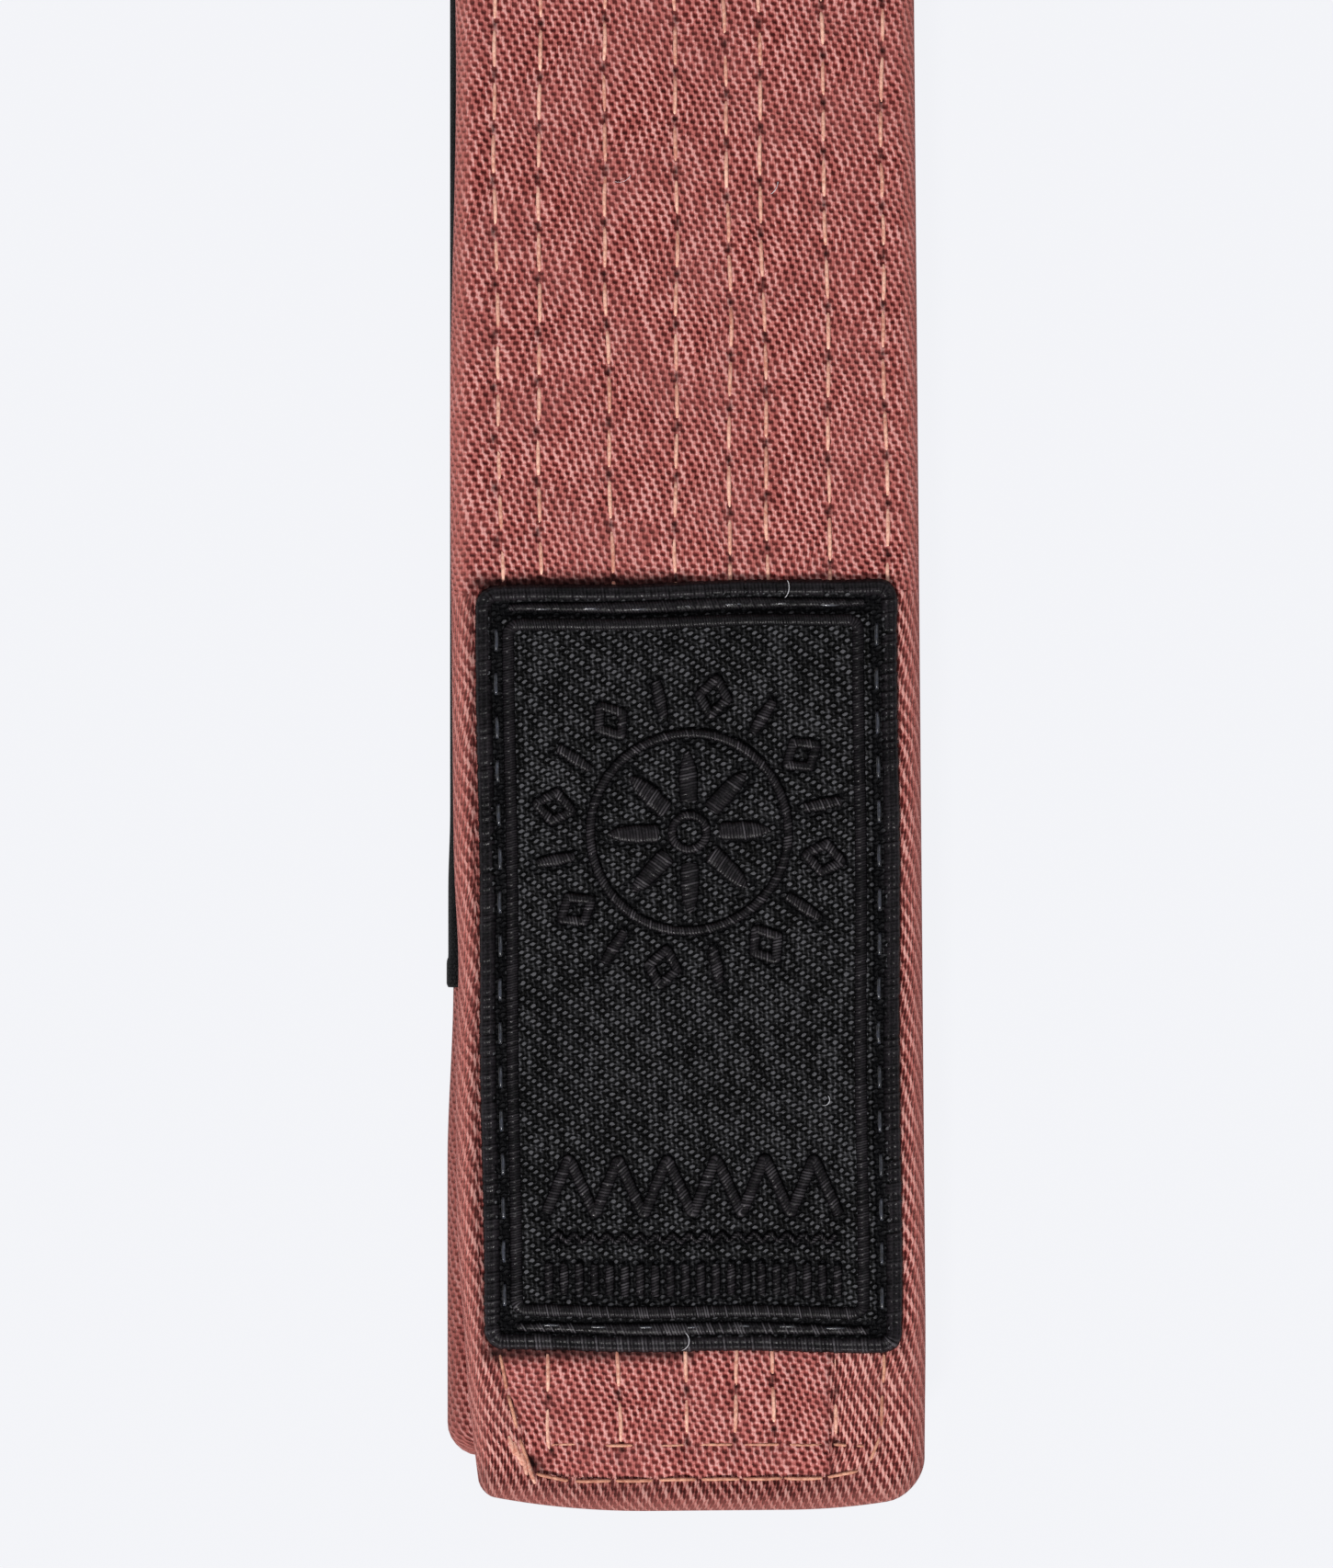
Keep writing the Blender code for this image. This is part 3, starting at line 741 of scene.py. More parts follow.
def twill(graph, across, along, warp, pick, repeat, skew, waves):
    """(height, float's own random value) of a twill, one pick over each repeat of warp.
    warp and pick are the yarns' spacings in mm, and skew tilts the picks. Each of waves is how
    many ribs and picks it counts and how much it raises the middle of each float."""
    yarn = graph.times(across, 1 / warp)
    picks = graph.add(graph.times(along, -1 / pick), graph.times(across, skew / pick))
    rib = graph.times(graph.add(picks, graph.times(yarn, -1.0)), 1 / repeat)
    raised = []
    for ribs, over, share in waves:
        phase = graph.times(graph.add(graph.times(rib, ribs), graph.times(picks, over)), 2 * pi)
        raised.append(graph.times(graph.math("COSINE", phase), share))
    number = graph.math("FLOOR", graph.add(yarn, 0.5))
    cell = graph.add(graph.times(graph.add(picks, graph.times(number, -1.0)), 1 / repeat), 0.5)
    spot = graph.node("CombineXYZ", number, graph.math("FLOOR", cell))
    return graph.add(*raised), graph.node("TexWhiteNoise", spot, noise_dimensions="2D")


def belt_cloth():
    graph = Graph("belt_cloth")
    uv, across, along = cloth_places(graph, 0.55, 0.05)
    turned = graph.attribute("turned")

    def both(plain, hem):
        return graph.scale(turned, 0, 1, plain, hem)

    waves = [(1, 0, both(0.385, 0.57)), (2, 0, both(0.0, 0.13)), (0, 1, both(0.225, 0.18)),
             (-1, 1, both(-0.15, 0.0)), (-3, 1, both(0.13, 0.42))]
    waves, chance = twill(graph, across, along, 0.2644, 0.548, 3, -0.204, waves)
    height = graph.ease(waves, -0.96, 0.64)
    fuzz = graph.noise(uv, 5.0, 3.0, 0.7)
    lit = graph.add(height, graph.scale(chance, 0.0, 1.0, -0.16, 0.16),
                    graph.scale(fuzz, 0.25, 0.75, -0.20, 0.20))
    colour = graph.ramp(lit, [
        (0.0, rgb(62, 12, 10)), (0.25, rgb(98, 30, 26)), (0.60, rgb(158, 76, 71)),
        (0.90, rgb(200, 122, 116)), (1.0, rgb(228, 166, 160)),
    ])
    dusty = graph.ease(graph.noise(uv, 0.16, 3.0, 0.6), 0.35, 0.72, 0.0, 0.28)
    # Painted highlight on the crests of the turned hem's yarns.
    hem_crest_highlight = graph.times(turned, graph.ease(lit, 0.6, 1.1, 0.0, 0.22))
    # The rounded edges are paler from wear.
    worn = graph.times(graph.attribute("edge"), 0.6)
    shaded = graph.times(graph.attribute("shade"), 0.95)
    for share, other in ((dusty, rgb(164, 92, 88)), (hem_crest_highlight, rgb(255, 200, 182)),
                         (worn, rgb(182, 104, 96)), (shaded, rgb(30, 8, 8))):
        colour = graph.mix(share, colour, other)
    return graph.finish(
        Base_Color=colour, Roughness=graph.scale(lit, 0.0, 1.0, 0.95, 0.78),
        Normal=graph.bump(fuzz, 0.00004, 0.6, graph.bump(height, 0.00018)), Specular_IOR_Level=0.2,
        Sheen_Weight=0.08, Sheen_Roughness=0.5, Sheen_Tint=rgb(236, 190, 180),
    )


def black_cloth(name, glint, bright):
    """Black twill, whose brightest yarns have the grey value bright."""
    graph = Graph(name)
    uv, across, along = cloth_places(graph, 0.35, 0.10)
    waves = [(1, 0, 0.27), (2, 0, 0.32), (-1, 1, 0.56), (-2, 1, 0.50), (-3, 1, 0.40),
             (-4, 1, 0.42), (0, 1, 0.28)]
    waves, chance = twill(graph, across, along, 0.452, 0.333, 4, 0.0, waves)
    height = graph.ease(waves, -0.85, 0.90)
    fuzz = graph.noise(uv, 5.0, 3.0, 0.75)
    lit = graph.add(height, graph.scale(chance, 0.0, 1.0, -0.18, 0.28),
                    graph.scale(fuzz, 0.25, 0.75, -0.32, 0.40))
    colour = graph.ramp(lit, [(0.0, rgb(1, 1, 1))] + [
        (at, rgb(bright * grey, bright * grey, bright * blue))
        for at, grey, blue in ((0.40, 0.14, 0.15), (0.8, 0.55, 0.57), (1.0, 1.0, 1.04))
    ])
    return graph.finish(
        Base_Color=graph.mix(graph.times(graph.attribute("shade"), 0.9), colour, rgb(6, 6, 8)),
        Roughness=graph.ease(fuzz, 0.3, 0.7, 0.72, 0.42),
        Normal=graph.bump(fuzz, 0.00005, 0.8, graph.bump(height, 0.00016)),
        Specular_IOR_Level=glint,
    )


def thread_material(name, low, high, rough, glint, grain=2600.0, sheen=0.1, satin=False):
    """Sewing thread, or satin stitching, whose mesh says where painted shade lies between its
    threads and where painted highlights lie on them.
    """
    graph = Graph(name)
    where = graph.node("TexCoord", output="Object")
    strand = graph.noise(where, grain, 3.0, 0.6)
    uneven = graph.noise(where, 260.0, 2.0, 0.5)
    lit = graph.add(graph.times(strand, 0.65), graph.times(uneven, 0.35))
    colour = graph.ramp(graph.ease(lit, 0.32, 0.68), [(0.0, low), (1.0, high)])
    if satin:
        # Painted highlights on the satin threads' crests, and painted shade in the gaps between
        # them.
        for name, share, other in (("shine", 0.55, rgb(107, 103, 108)),
                                   ("gap", 0.96, rgb(3, 3, 4))):
            colour = graph.mix(graph.times(graph.attribute(name), share), colour, other)
    return graph.finish(
        Base_Color=colour, Roughness=graph.ease(strand, 0.3, 0.7, rough + 0.12, rough - 0.12),
        Normal=graph.bump(strand, 0.00005, 0.8), Specular_IOR_Level=glint, Sheen_Weight=sheen,
    )


# ---- camera, light and floor

VIEW_HEIGHT = 136.5
CAMERA_UP = 900.0
CAMERA_X = -0.78
CAMERA_FROM_TIP = 63.4


def build_stage():
    scene = bpy.context.scene
    scene.view_settings.view_transform = "Standard"
    camera = bpy.data.cameras.new("camera")
    camera.sensor_width = 36.0
    camera.lens = camera.sensor_width * CAMERA_UP / VIEW_HEIGHT
    camera.clip_start, camera.clip_end = 0.05, 20.0
    eye = bpy.data.objects.new("camera", camera)
    middle_y = point(0.0)[1] + CAMERA_FROM_TIP * MM
    top = (FRONT_LEVEL + HALF_THICKNESS) * MM
    eye.location = (CAMERA_X * MM, middle_y, top + CAMERA_UP * MM)
    scene.collection.objects.link(eye)
    scene.camera = eye

    def lamp(name, x, ahead, z, size, power, colour):
        """A round lamp that faces the middle of the view; ahead is measured from there."""
        light = bpy.data.lights.new(name, "AREA")
        light.shape = "DISK"
        light.size, light.energy, light.color = size, power, colour
        obj = bpy.data.objects.new(name, light)
        obj.location = (x, middle_y + ahead, z)
        obj.rotation_euler = Vector((-x, -ahead, -z)).to_track_quat("-Z", "Y").to_euler()
        scene.collection.objects.link(obj)

    lamp("key", -0.32, -1.37, 1.30, 0.30, 36.5, (1.0, 0.985, 0.97))
    lamp("fill", 0.16, 0.3, 0.9, 0.5, 1.3, (0.96, 0.98, 1.0))

    world = bpy.data.worlds.new("studio")
    world.use_nodes = True
    background = world.node_tree.nodes["Background"]
    background.inputs[0].default_value = (0.94, 0.96, 1.0, 1)
    background.inputs[1].default_value = 0.25
    scene.world = world

    pale = Graph("floor").finish(
        Base_Color=(0.03, 0.03, 0.03, 1), Roughness=1.0, Specular_IOR_Level=0.0,
        Emission_Color=rgb(243, 244, 248), Emission_Strength=0.97,
    )
    size = 3000
    corners = [(-size, -size, 0), (size, -size, 0), (size, size, 0), (-size, size, 0)]
    floor = make_mesh("floor", corners, [(0, 1, 2, 3)], pale)
    floor.location.z = -0.0001


# ---- what the pieces share


def own(piece, where, slot, *nodes):
    """A piece that rides on a body, or has its transform baked in where it lies across a hinge, and
    stands for these nodes.
    """
    if isinstance(where, str):
        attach(piece, where)
    else:
        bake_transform(piece)
    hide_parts(*nodes)
    return piece


def sewn(name, runs, thread, where, *nodes):
    """A piece of stitches or of fibres."""
    slot = "peach_thread" if thread in (PEACH, HEM_THREAD) else "black_thread"
    own(tubes(name, runs, thread), where, slot, *nodes)


def stretch(name, where, nodes, stations, felt, **looks):
    """A stretch of the cover, and its interlining with the stations felt. They stand for the
    CAD's stretches that nodes names."""
    covers = (f"{node}_cover" for node in nodes)
    cover = own(strap(name, stations, **looks), where, "belt_cloth", *covers)
    layers = (f"{node}_interlining_{side}" for node in nodes for side in ("face", "back"))
    own(core(f"{name}_interlining", felt, looks.get("rear", False)), where, "interlining", *layers)


def on_patch(u, v, h):
    """A place on the patch: u across it, v up it, h above the belt's face. It is sewn on by
    hand, so it is a little longer at its right side and wider at its top."""
    s = PATCH_FROM_TIP + PATCH_V + v * (1 + 0.0075 * u / PATCH_U) + 0.09 * np.sin(u / 3.1)
    a = PATCH_SIDEWAYS + u * (1 + 0.005 * v / PATCH_V) + 0.07 * np.sin(v / 5.3)
    return place(s, a, HALF_THICKNESS + h)


def slab(name, us, vs, top, bottom, material, dark=None):
    """A closed slab of cloth on the patch, with its top's relief; its cloth coordinates are u
    and v."""
    u, v = np.meshgrid(us, vs)
    values = {"shade": np.r_[dark(u, v).ravel(), np.zeros(u.size)]} if dark else {}
    index = np.arange(u.size).reshape(u.shape)
    points = np.concatenate([on_patch(u, v, h).reshape(-1, 3) for h in (top(u, v), bottom)])
    rim = np.r_[index[0, :-1], index[:-1, -1], index[-1, :0:-1], index[:0:-1, 0]]
    rim = np.append(rim, rim[0])
    walls = np.stack([rim[1:], rim[:-1], rim[:-1] + u.size, rim[1:] + u.size], -1)
    faces = np.r_[grid_quads(index), grid_quads(index, True) + u.size, walls]
    flat = np.stack([u, v], -1).reshape(-1, 2)
    uvs = np.r_[flat, flat][faces].reshape(-1, 2)
    return make_mesh(name, points, faces.tolist(), material, uvs, **values)


# ---- the tips

FRONT_HEM = [(-17.2, 14.2), (-16.9, 12.0), (-15.2, 5.2), (-14.2, 3.1), (-12.6, 2.75), (12.6, 2.9),
             (14.6, 3.4), (16.0, 5.2), (16.3, 14.2)]
FRONT_TIP_SEAM = [(-13.2, 5.9), (11.7, 5.8), (15.0, 5.5)]
REAR_HEM = [(-17.0, 15.0), (-16.9, 5.0), (-15.0, 3.0), (15.0, 2.9), (16.9, 5.0), (17.0, 15.0)]
STEP_AT = 11.6


def hem_relief(a, s, path):
    """(height, painted shade) of the groove that a hem's stitching draws."""
    hem = to_path(a, s, path)
    return -0.22 * bump(hem, 0.45) - 0.14 * bump(hem, 1.2), 0.3 * bump(hem, 0.30)


def front_tip_relief(a, s, sign):
    """The hem's groove, the seam, the joined cloth's step, a pull in the cloth and the patch's
    dent; painted shade in the grooves, at the step and in the pull, and the patch's painted shadow
    beside it.
    """
    height, dark = hem_relief(a, s, FRONT_HEM)
    seam = to_path(a, s, FRONT_TIP_SEAM)
    inside = smooth((16 - s) / 2)
    beside = bump(a - STEP_AT, 0.35) * inside
    pull = bump(a + 14.6, 1.0) * bump(s - 3.8, 0.7)
    height += 0.12 * smooth((a - STEP_AT) / 0.5) * inside
    height -= 0.14 * bump(seam, 0.35) + 0.10 * beside + 0.5 * pull
    dark += 0.22 * bump(seam, 0.25) + 0.35 * beside + 0.9 * pull
    if sign > 0:
        under_patch = smooth((s - 14.3) / 0.8) * smooth((80.7 - s) / 0.8)
        height -= 0.35 * under_patch * smooth((17.8 - np.abs(a + 0.5)) / 0.8)
        beyond = np.maximum(np.abs(a - PATCH_SIDEWAYS) - PATCH_U,
                            np.abs(s - PATCH_FROM_TIP - PATCH_V) - PATCH_V)
        dark += np.where(a < 0, 0.95, 0.35) * bump(beyond, np.where(a < 0, 0.85, 0.5))
    return height, np.clip(dark, 0, 1)


def front_tip_turned(a, s):
    """Whether the cloth is turned there: round the tip's hem, and at the edges by the patch."""
    hem = (s < 2.9) | (a > STEP_AT) | (a < -14.7 - (s - 3.7) * 0.25)
    return ((s < 14.2) & hem) | ((s < 80) & (np.abs(a + 0.2) > 18.0))


def front_bow(a, s):
    """The front tail's left side swells beside the patch, and less where it lies on the bar's
    end. Its right side draws in a little at the tip."""
    swell = 0.82 * smooth((s - 9) / 18) * smooth((128 - s) / 36) - 0.34 * bump(s - 48, 6)
    swell = np.where(a < 0, swell, 0.2 * smooth(1 - s / 18))
    return a - swell * np.minimum(np.abs(a) / HALF_WIDTH, 1) ** 3


def under_rank_bar(a, q):
    """The rank bar is drawn tight, so that the belt is narrower inside it."""
    return a * (1 - 0.026 * smooth((q - 26) / 16) * smooth((150 - q) / 9))


# ---- stage and materials

build_stage()
CLOTH = belt_cloth()
BLACK_CLOTH = black_cloth("patch_ground_cloth", 0.05, 86)
BAR_CLOTH = black_cloth("rank_bar_cloth", 0.06, 32)
PEACH = thread_material("peach_thread", rgb(196, 126, 106), rgb(252, 200, 178), 0.6, 0.3)
HEM_THREAD = thread_material("hem_thread", rgb(166, 102, 82), rgb(230, 170, 142), 0.6, 0.25)
BLACK = thread_material("black_thread", rgb(4, 4, 5), rgb(42, 38, 42), 0.36, 0.12, sheen=0.0,
                        satin=True)
GLOSS = thread_material("patch_sewing_thread", rgb(9, 10, 13), rgb(60, 63, 74), 0.3, 0.7)
FELT = thread_material("interlining_felt", rgb(198, 192, 178), rgb(232, 228, 216), 0.9, 0.1, 900.0)
LINT = thread_material("lint", rgb(205, 205, 210), rgb(240, 240, 244), 0.6, 0.2)

# ---- front tail

# Each hinge: its two bodies, and where the cloth starts and ends its bend.
TAILS_HINGE = ("roll", "tails"), point(171, 0, HALF_THICKNESS), point(147, 0, HALF_THICKNESS)
FRONT_HINGE = ("tails", "front_end"), point(106, 0, HALF_THICKNESS), point(82, 0, HALF_THICKNESS)

tip_steps = edge_steps(7)
stations = np.arange(tip_steps[-1] + 0.35, FRONT_SEAM - 0.2, 0.42)
# Near the tip the edges carry painted shade.
stretch("front_tail_end", FRONT_HINGE, ["front_end", "front_run"],
        np.r_[tip_steps, stations, FRONT_SEAM],
        np.linspace(5.4, FRONT_SEAM - 0.05, 90),
        tip=Tip(left=1.4, right=3.4, setback=1.2, taper=1.0), detail=FINE,
        extra=front_tip_relief, turned=front_tip_turned, pull=front_bow,
        worn=lambda s: 0.38 * smooth((4.5 - s) / 3))
rows = []
for row in range(1, len(QUILT_ROWS) - 1):
    rows += row_stitches(row, 3.1, HEM_END, 1)
for row in range(len(QUILT_ROWS)):
    rows += row_stitches(row, 80.0, FRONT_SEAM + 1.5, 1)
    rows += row_stitches(row, 2.9, FRONT_SEAM + 1.5, -1, 7, 5)
sewn("front_tail_end_quilting", rows, PEACH, FRONT_HINGE,
     *(f"quilt_thread_{row + 1}" for row in range(len(QUILT_ROWS))))

stations = np.arange(FRONT_SEAM, FRONT_COIL_SEAM - 0.3, 0.6)
stretch("front_tail_lead", TAILS_HINGE, ["front_lead"], np.append(stations, FRONT_COIL_SEAM),
        np.linspace(FRONT_SEAM + 0.05, FRONT_COIL_SEAM, 60), detail=FINE)
sewn("front_tail_lead_quilting", quilting(FRONT_SEAM - 3, FRONT_COIL_SEAM, (1, -1), 9, 5), PEACH,
     TAILS_HINGE)

# The hem's stitching at the tip, on both sides, and the seam above it.
hem = both_sides(FRONT_HEM, 3.7, 0.14, dive(base=1.86), THREAD_RADIUS * 0.85)
sewn("front_hem_stitching", hem, HEM_THREAD, "front_end", "front_hem_stitch")
seam = []
for part, pitch, gap, base in ((FRONT_TIP_SEAM[:2], 4.1, 0.25, 1.81),
                               (FRONT_TIP_SEAM[1:], 3.3, 0.3, 1.94)):
    seam += path_stitches(part, pitch, gap, dive(base=base), THREAD_RADIUS * 0.72)
sewn("front_seam_stitching", seam, HEM_THREAD, "front_end", "front_hem_seam")
backtack = []
for step in range(7):
    middle = np.array([-16.0 + 0.27 * step + random.normal(0, 0.10), 5.9 - 0.42 * step])
    reach = np.array([0.30 + random.normal(0, 0.08), -0.95 + random.normal(0, 0.12)])
    heights = 2.02 + 0.05 * random.normal() - 0.3 * (1 - np.sin(pi * np.linspace(0, 1, 11)) ** 0.5)
    backtack.append(stitch(middle - reach, middle + reach, heights, 0.21))
sewn("front_backtack_stitching", backtack, PEACH, "front_end", "front_backtack")

# ---- the patch

EMBLEM_MIDDLE = np.array([0.0, 11.7])
EMBLEM_NODES = {"ring": "emblem_ring", "rosette": "emblem_rosette", "zigzag": "emblem_zigzag",
                "upper_row": "emblem_line_upper", "lower_row": "emblem_line_lower"}


def circle(radius, count=160):
    turn = turns(count)
    return EMBLEM_MIDDLE + radius * np.stack([np.cos(turn), np.sin(turn)], 1)


def polar(angle, radius, aside=0.0):
    out = np.array([cos(angle), sin(angle)])
    return EMBLEM_MIDDLE + radius * out + aside * np.array([-out[1], out[0]])


def wavy(width, height, teeth, at, step=0.12):
    """A zigzag's path with rounded corners."""
    count = np.arange(teeth)
    sides = at + np.where(count % 2, height, -height) / 2
    path, _ = resample(np.stack([width * (count / (teeth - 1) - 0.5), sides], 1), step)
    rounded = [np.convolve(np.pad(axis, 3, "edge"), np.ones(7) / 7, "valid") for axis in path.T]
    return np.stack(rounded, 1)


def emblem():
    """The generic design's strokes by name: each its path, widths, and whether it is closed."""
    ring, rosette = [(circle(8.6), [0.8], True)], [(circle(1.5, 60), [0.75], True)]
    for part in range(16):
        angle = 2 * pi * (part + 0.5) / 16
        if part % 2:
            corners = ((10.3, 0), (11.9, 1.25), (13.5, 0), (11.9, -1.25))
            ring.append((np.array([polar(angle, *corner) for corner in corners]), [0.85], True))
        else:
            ring.append(([polar(angle, 10.2), polar(angle, 13.5)], [0.8, 1.1, 0.8], False))
    radii = np.linspace(2.7, 7.0, 24)
    widths = 1.7 * radii * np.sin(np.arccos(np.clip(2 * (radii - 2.6) / 4.5 - 1, -1, 1)) / 8)
    widths = np.r_[0.5, widths, 0.2]
    for angle in turns(8):
        rosette.append(([polar(angle, 2.6), polar(angle, 7.1)], widths, False))
    return {
        "ring": ring,
        "rosette": rosette,
        "zigzag": [(wavy(25.6, 4.9, 13, -19.1), [1.0], False)],
        "upper_row": [(wavy(25.0, 0.8, 36, -23.6, 0.06), [0.42], False)],
        "lower_row": [([(at, -28.6), (at, -25.9)], [0.7, 0.8, 0.7], False)
                      for at in np.linspace(-12.6, 12.6, 20)],
    }


EMBLEM = emblem()


def ground_top(u, v):
    wave = 0.03 * np.sin(u / 1.9 + 0.4 * v) + 0.04 * np.sin(v / 3.7 - 0.8 * np.sin(u / 4.1))
    return 0.60 + wave - 0.34 * in_channel(u, v) - 0.20 * beside_emblem(u, v)


# Painted shade in the channel and along the embroidery's edges, where the cloth is drawn down.
def ground_dark(u, v):
    return np.clip(in_channel(u, v) + 0.95 * beside_emblem(u, v), 0, 1)


def beside_emblem(u, v):
    """How near a place is to the edge of the embroidery, which draws the cloth down."""
    nearest = np.full(u.shape, 9.0)
    for path, width, closed in (stroke for strokes in EMBLEM.values() for stroke in strokes):
        points, _ = resample(path, 0.25, closed)
        low, high = points.min(0) - 1.6, points.max(0) + 1.6
        near = (u > low[0]) & (u < high[0]) & (v > low[1]) & (v < high[1])
        apart = np.hypot(u[near][:, None] - points[:, 0], v[near][:, None] - points[:, 1]).min(1)
        nearest[near] = np.minimum(nearest[near], apart - max(width) / 2)
    return bump(nearest, 0.24)


def in_channel(u, v):
    """How far down a place is in the channel between the border and the frame."""
    side, end = PATCH_U - np.abs(u), PATCH_V - np.abs(v)
    sides = smooth((side - 1.2) / 0.3) * smooth((2.5 - side) / 0.3)
    ends = smooth((end - 1.2) / 0.3) * smooth((3.05 - end) / 0.3)
    return np.maximum(sides * (np.abs(v) < 32.3), ends * (np.abs(u) < 17.1))


def painted_edging_highlight(v):
    """How strong the painted highlights on the patch's edging are, most of all at its lower end."""
    return np.interp(v, (-32.5, -28.5, 28), (2.7, 0.5, 0.15))


own(slab("patch_felt", np.linspace(-17.6, 17.6, 12), np.linspace(-32.8, 32.8, 20),
         lambda u, v: 0.06, -0.30, FELT), "front_end", "patch_cloth", "patch_backing")
ground = slab("patch_cloth_ground", np.linspace(-17.5, 17.5, 176), np.linspace(-32.7, 32.7, 270),
              ground_top, 0.10, BLACK_CLOTH, ground_dark)
own(ground, "front_end", "patch_cloth", "patch_ground")

outline = rounded_rectangle(0.74, 0.74, 1.1)
border = [satin(outline, [1.48], 0.78, 0.02, on_patch, pitch=0.31, slant=0.3, closed=True,
                across=17, depth=0.45, waist=0.2, highlight_by_y=painted_edging_highlight)]
for way in (1, -1):
    path = [(-15.4 * way, (PATCH_V - 2.0) * way), (15.4 * way, (PATCH_V - 2.0) * way)]
    border.append(satin(path, [0.7, 1.15, 1.15, 0.7], 0.42, 0.16, on_patch, pitch=0.27, slant=0.9,
                        highlight_by_y=painted_edging_highlight))
own(joined("patch_merrowed_border", border), "front_end", "black_thread", "patch_border")

outline = rounded_rectangle(3.15, 3.5, 0.9) + (-0.27, 0)
frame_line = satin(outline, [1.12], 0.46, 0.48, on_patch, pitch=0.23, slant=0.6, closed=True,
                   highlight_by_y=painted_edging_highlight)
own(joined("patch_satin_frame", [frame_line]), "front_end", "black_thread", "patch_frame_stitch")

channel = []
rise = 0.52 + 0.16 * np.sin(pi * np.linspace(0, 1, 9)) ** 0.5 - 0.18
for way in (1, -1):
    for path, gap, radius in (([(16.5 * way, -30.6), (16.5 * way, 30.6)], 1.9, 0.17),
                              ([(-14.5, 31.35 * way), (14.5, 31.35 * way)], 2.0, 0.12)):
        channel += path_stitches(path, 3.9, gap, rise, radius, on_patch)
sewn("patch_running_stitches", channel, GLOSS, "front_end", "patch_sewing_thread")

for name, strokes in EMBLEM.items():
    made = [satin(path, width, 0.30, 0.54, on_patch, pitch=0.27, closed=closed)
            for path, width, closed in strokes]
    own(joined(f"emblem_{name}_embroidery", made), "front_end", "black_thread", EMBLEM_NODES[name])

# ---- the roll


def coil_stations(low, high, fold):
    """Stations from low to high, closer together round the fold."""
    coarse = np.arange(low, high - 0.5, 2.6)
    fine = np.arange(fold - 14, fold + 14, 0.9)
    coarse = coarse[np.abs(coarse - fold) > 14.5]
    fine = fine[(fine > low + 0.5) & (fine < high - 0.5)]
    return np.r_[np.union1d(coarse, fine), high]


middle_s = 0.5 * (FRONT_COIL_SEAM + COIL_END)
inward = coil_stations(FRONT_COIL_SEAM, middle_s, FOLD_S)
outward = coil_stations(REAR_COIL_SEAM, BELT_LENGTH - middle_s, BELT_LENGTH - FOLD_S)
for name, stations, from_rear in (("coil_inward", inward, False), ("coil_outward", outward, True)):
    cover = own(strap(name, stations, rear=from_rear), "roll", "belt_cloth", "coil_cover")
own(core("coil_interlining", np.arange(FRONT_COIL_SEAM, COIL_END, 4.0)), "roll",
    "interlining", "coil_interlining_face", "coil_interlining_back")
outer_turn = 2 * pi * (OUTER_PAIR_RADIUS + STRAND_PITCH / 2)
sewn("coil_quilting", quilting(COIL_END - outer_turn, COIL_END, (1,), 7, 5), PEACH, "roll")

# ---- rear tail


def rear(q):
    return point(BELT_LENGTH - q)


LEAD_HINGE = ("roll", "tails"), rear(167), rear(143)
END_HINGE = ("tails", "rear_end"), rear(41), rear(27)
stations = np.append(np.arange(REAR_SEAM, REAR_COIL_SEAM - 0.5, 1.0), REAR_COIL_SEAM)
stretch("rear_tail_lead", LEAD_HINGE, ["rear_lead", "rear_run"], stations,
        np.linspace(REAR_SEAM + 0.05, REAR_COIL_SEAM, 70), rear=True, pull=under_rank_bar)
stations = np.r_[edge_steps(5), np.arange(2.8, REAR_SEAM - 0.3, 0.7), REAR_SEAM]
# The rear tail's end stretch carries painted shade along its edges.
stretch("rear_tail_end", END_HINGE, ["rear_end"], stations, np.linspace(4.2, REAR_SEAM - 0.05, 60),
        tip=Tip(left=2.7, right=3.0, setback=0.5), rear=True, pull=under_rank_bar,
        extra=lambda a, s, sign: hem_relief(a, s, REAR_HEM), worn=lambda s: 0.3)
seam_s = BELT_LENGTH - REAR_SEAM
rows = quilting(COIL_END, seam_s, (1, -1), 7, 5)
sewn("rear_tail_lead_quilting", rows, PEACH, LEAD_HINGE)
rows = quilting(seam_s - 1, BELT_LENGTH - 2.9, (1, -1), 9, 5)
sewn("rear_tail_end_quilting", rows, PEACH, END_HINGE)
hem = both_sides(REAR_HEM, 3.9, 0.6, dive(base=1.88), THREAD_RADIUS * 1.1, on_rear)
sewn("rear_hem_stitching", hem, PEACH, "rear_end", "rear_hem_stitch")

# ---- rank bar

BAR_START, BAR_END = 41.6, 141.6


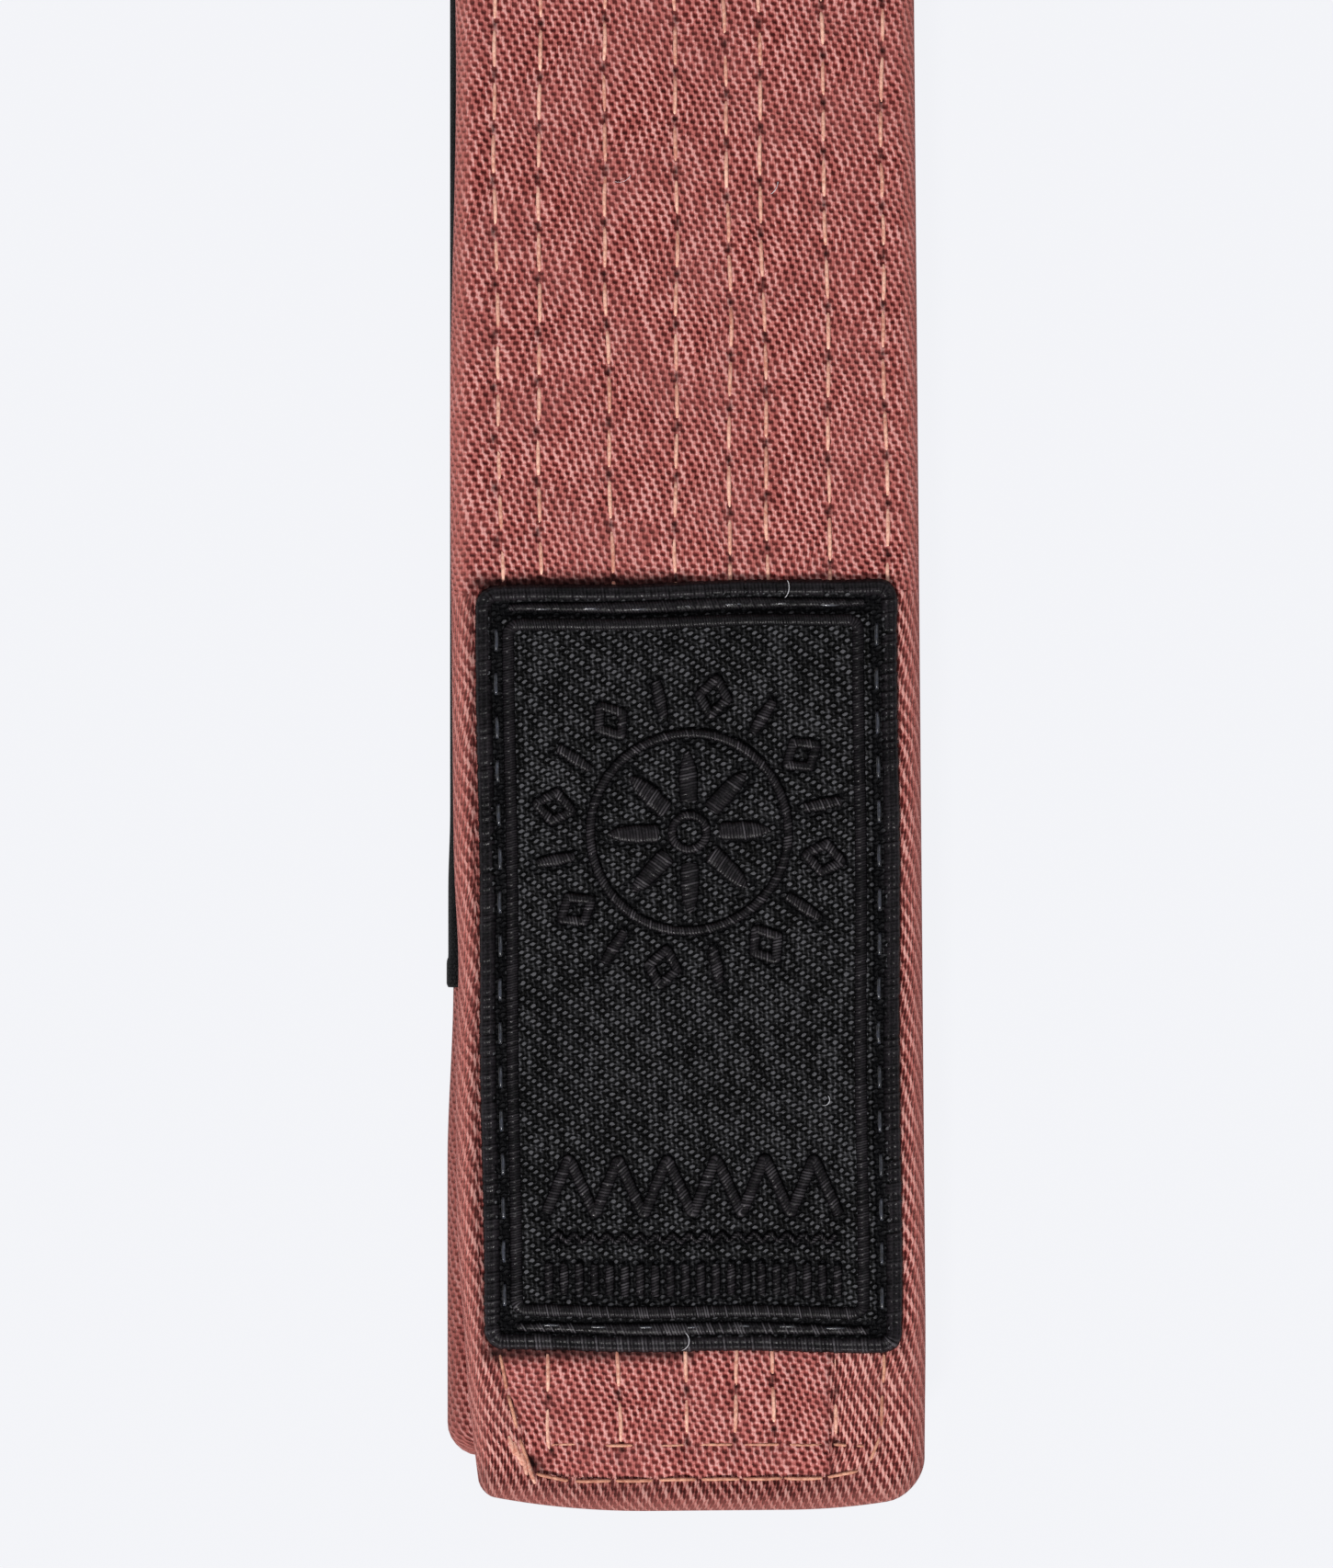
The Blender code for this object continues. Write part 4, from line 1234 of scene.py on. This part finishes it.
def rank_bar():
    """A tight black sleeve round the rear tail, with a turned hem at each end."""
    steps = np.r_[np.linspace(BAR_START, 44.8, 12), np.linspace(45.0, 138.2, 120),
                  np.linspace(138.4, BAR_END, 12)]
    from_end = np.minimum(steps - BAR_START, BAR_END - steps)
    thick = 0.30 + 0.14 * (1 - smooth((from_end - 2.2) / 0.5)) * smooth(from_end / 0.3 + 0.2)
    thick += 0.16 * (1 - smooth((steps - 50) / 7))
    q, turn = steps[:, None], turns(220)
    share = np.clip((np.abs(np.cos(turn)) - 0.5) / 0.5, 0, 1)
    ripple = 0.04 * np.sin(3 * turn + q / 5.0) + 0.03 * np.sin(11 * turn - q / 2.3)
    points = []
    for outset, wave in ((0.02 + thick[:, None], ripple), (0 * q, 0)):
        a = np.clip(np.cos(turn) * 2, -1, 1) * 17.6
        a = a + np.sign(np.cos(turn)) * (1.85 + outset) * np.sin(share * pi / 2)
        h = np.sign(np.sin(turn)) * (HALF_THICKNESS + outset + 0.08) * np.cos(share * pi / 2)
        points.append(on_rear(a, q, h + np.sign(h) * wave).reshape(-1, 3))
    index = np.arange(steps.size * turn.size).reshape(steps.size, turn.size)
    shell = np.r_[index, index[::-1] + index.size, index[:1]]
    shell = np.concatenate([shell, shell[:, :1]], 1)
    round_bar = np.linspace(0, 89.0, turn.size + 1)
    along = np.r_[steps, steps[::-1], steps[:1]][:, None]
    cloth = np.stack(np.broadcast_arrays(round_bar, along), -1).reshape(-1, 2)
    corners = grid_quads(np.arange(shell.size).reshape(shell.shape))
    return make_mesh("rank_bar_sleeve", np.concatenate(points), grid_quads(shell).tolist(),
                     BAR_CLOTH, cloth[corners].reshape(-1, 2))


sleeve = own(rank_bar(), "tails", "rank_bar_cloth", "rank_bar")
rise = 2.62 + 0.06 * np.sin(pi * np.linspace(0, 1, 9))
for name, q in (("tip", 43.9), ("roll", 139.3)):
    runs = both_sides([(-17.5, q), (17.5, q)], 3.0, 0.5, rise, 0.16, on_rear)
    sewn(f"rank_bar_{name}_stitching", runs, BLACK, "tails", f"rank_bar_stitch_{name}_end")

# ---- lint


def fibre(middle, length, bend, heading, h, where):
    """A stray fibre that lies on the cloth."""
    share = np.linspace(-0.5, 0.5, 13)
    angle = heading + bend * share
    step = length / 12 * np.stack([np.cos(angle), np.sin(angle)], 1)
    path = middle + np.cumsum(step, axis=0) - step.sum(0) / 2
    x, y = 0.035 * np.cos(turns(5)), 0.035 * np.sin(turns(5))
    lift = h + 0.15 * np.cos(pi * share[:, None]) ** 2
    return where(path[:, :1] + x, path[:, 1:] + y * 0.3, lift + y)


def on_face(a, s, h):
    return place(s, a, HALF_THICKNESS + h)


on_tail = [fibre((-5.6, 116.2), 1.6, 1.5, 0.3, 0.0, on_face),
           fibre((7.6, 115.2), 1.3, 1.0, 1.0, 0.0, on_face)]
sewn("lint_on_tail", on_tail, LINT, "tails")
on_ground = [fibre((8.6, 32.6), 1.6, 1.2, 1.4, 0.75, on_patch),
             fibre((11.7, -11.6), 1.3, 2.6, 0.9, 0.75, on_patch),
             fibre((-0.9, -32.6), 1.9, 2.2, 1.3, 0.75, on_patch)]
sewn("lint_on_patch", on_ground, LINT, "front_end")
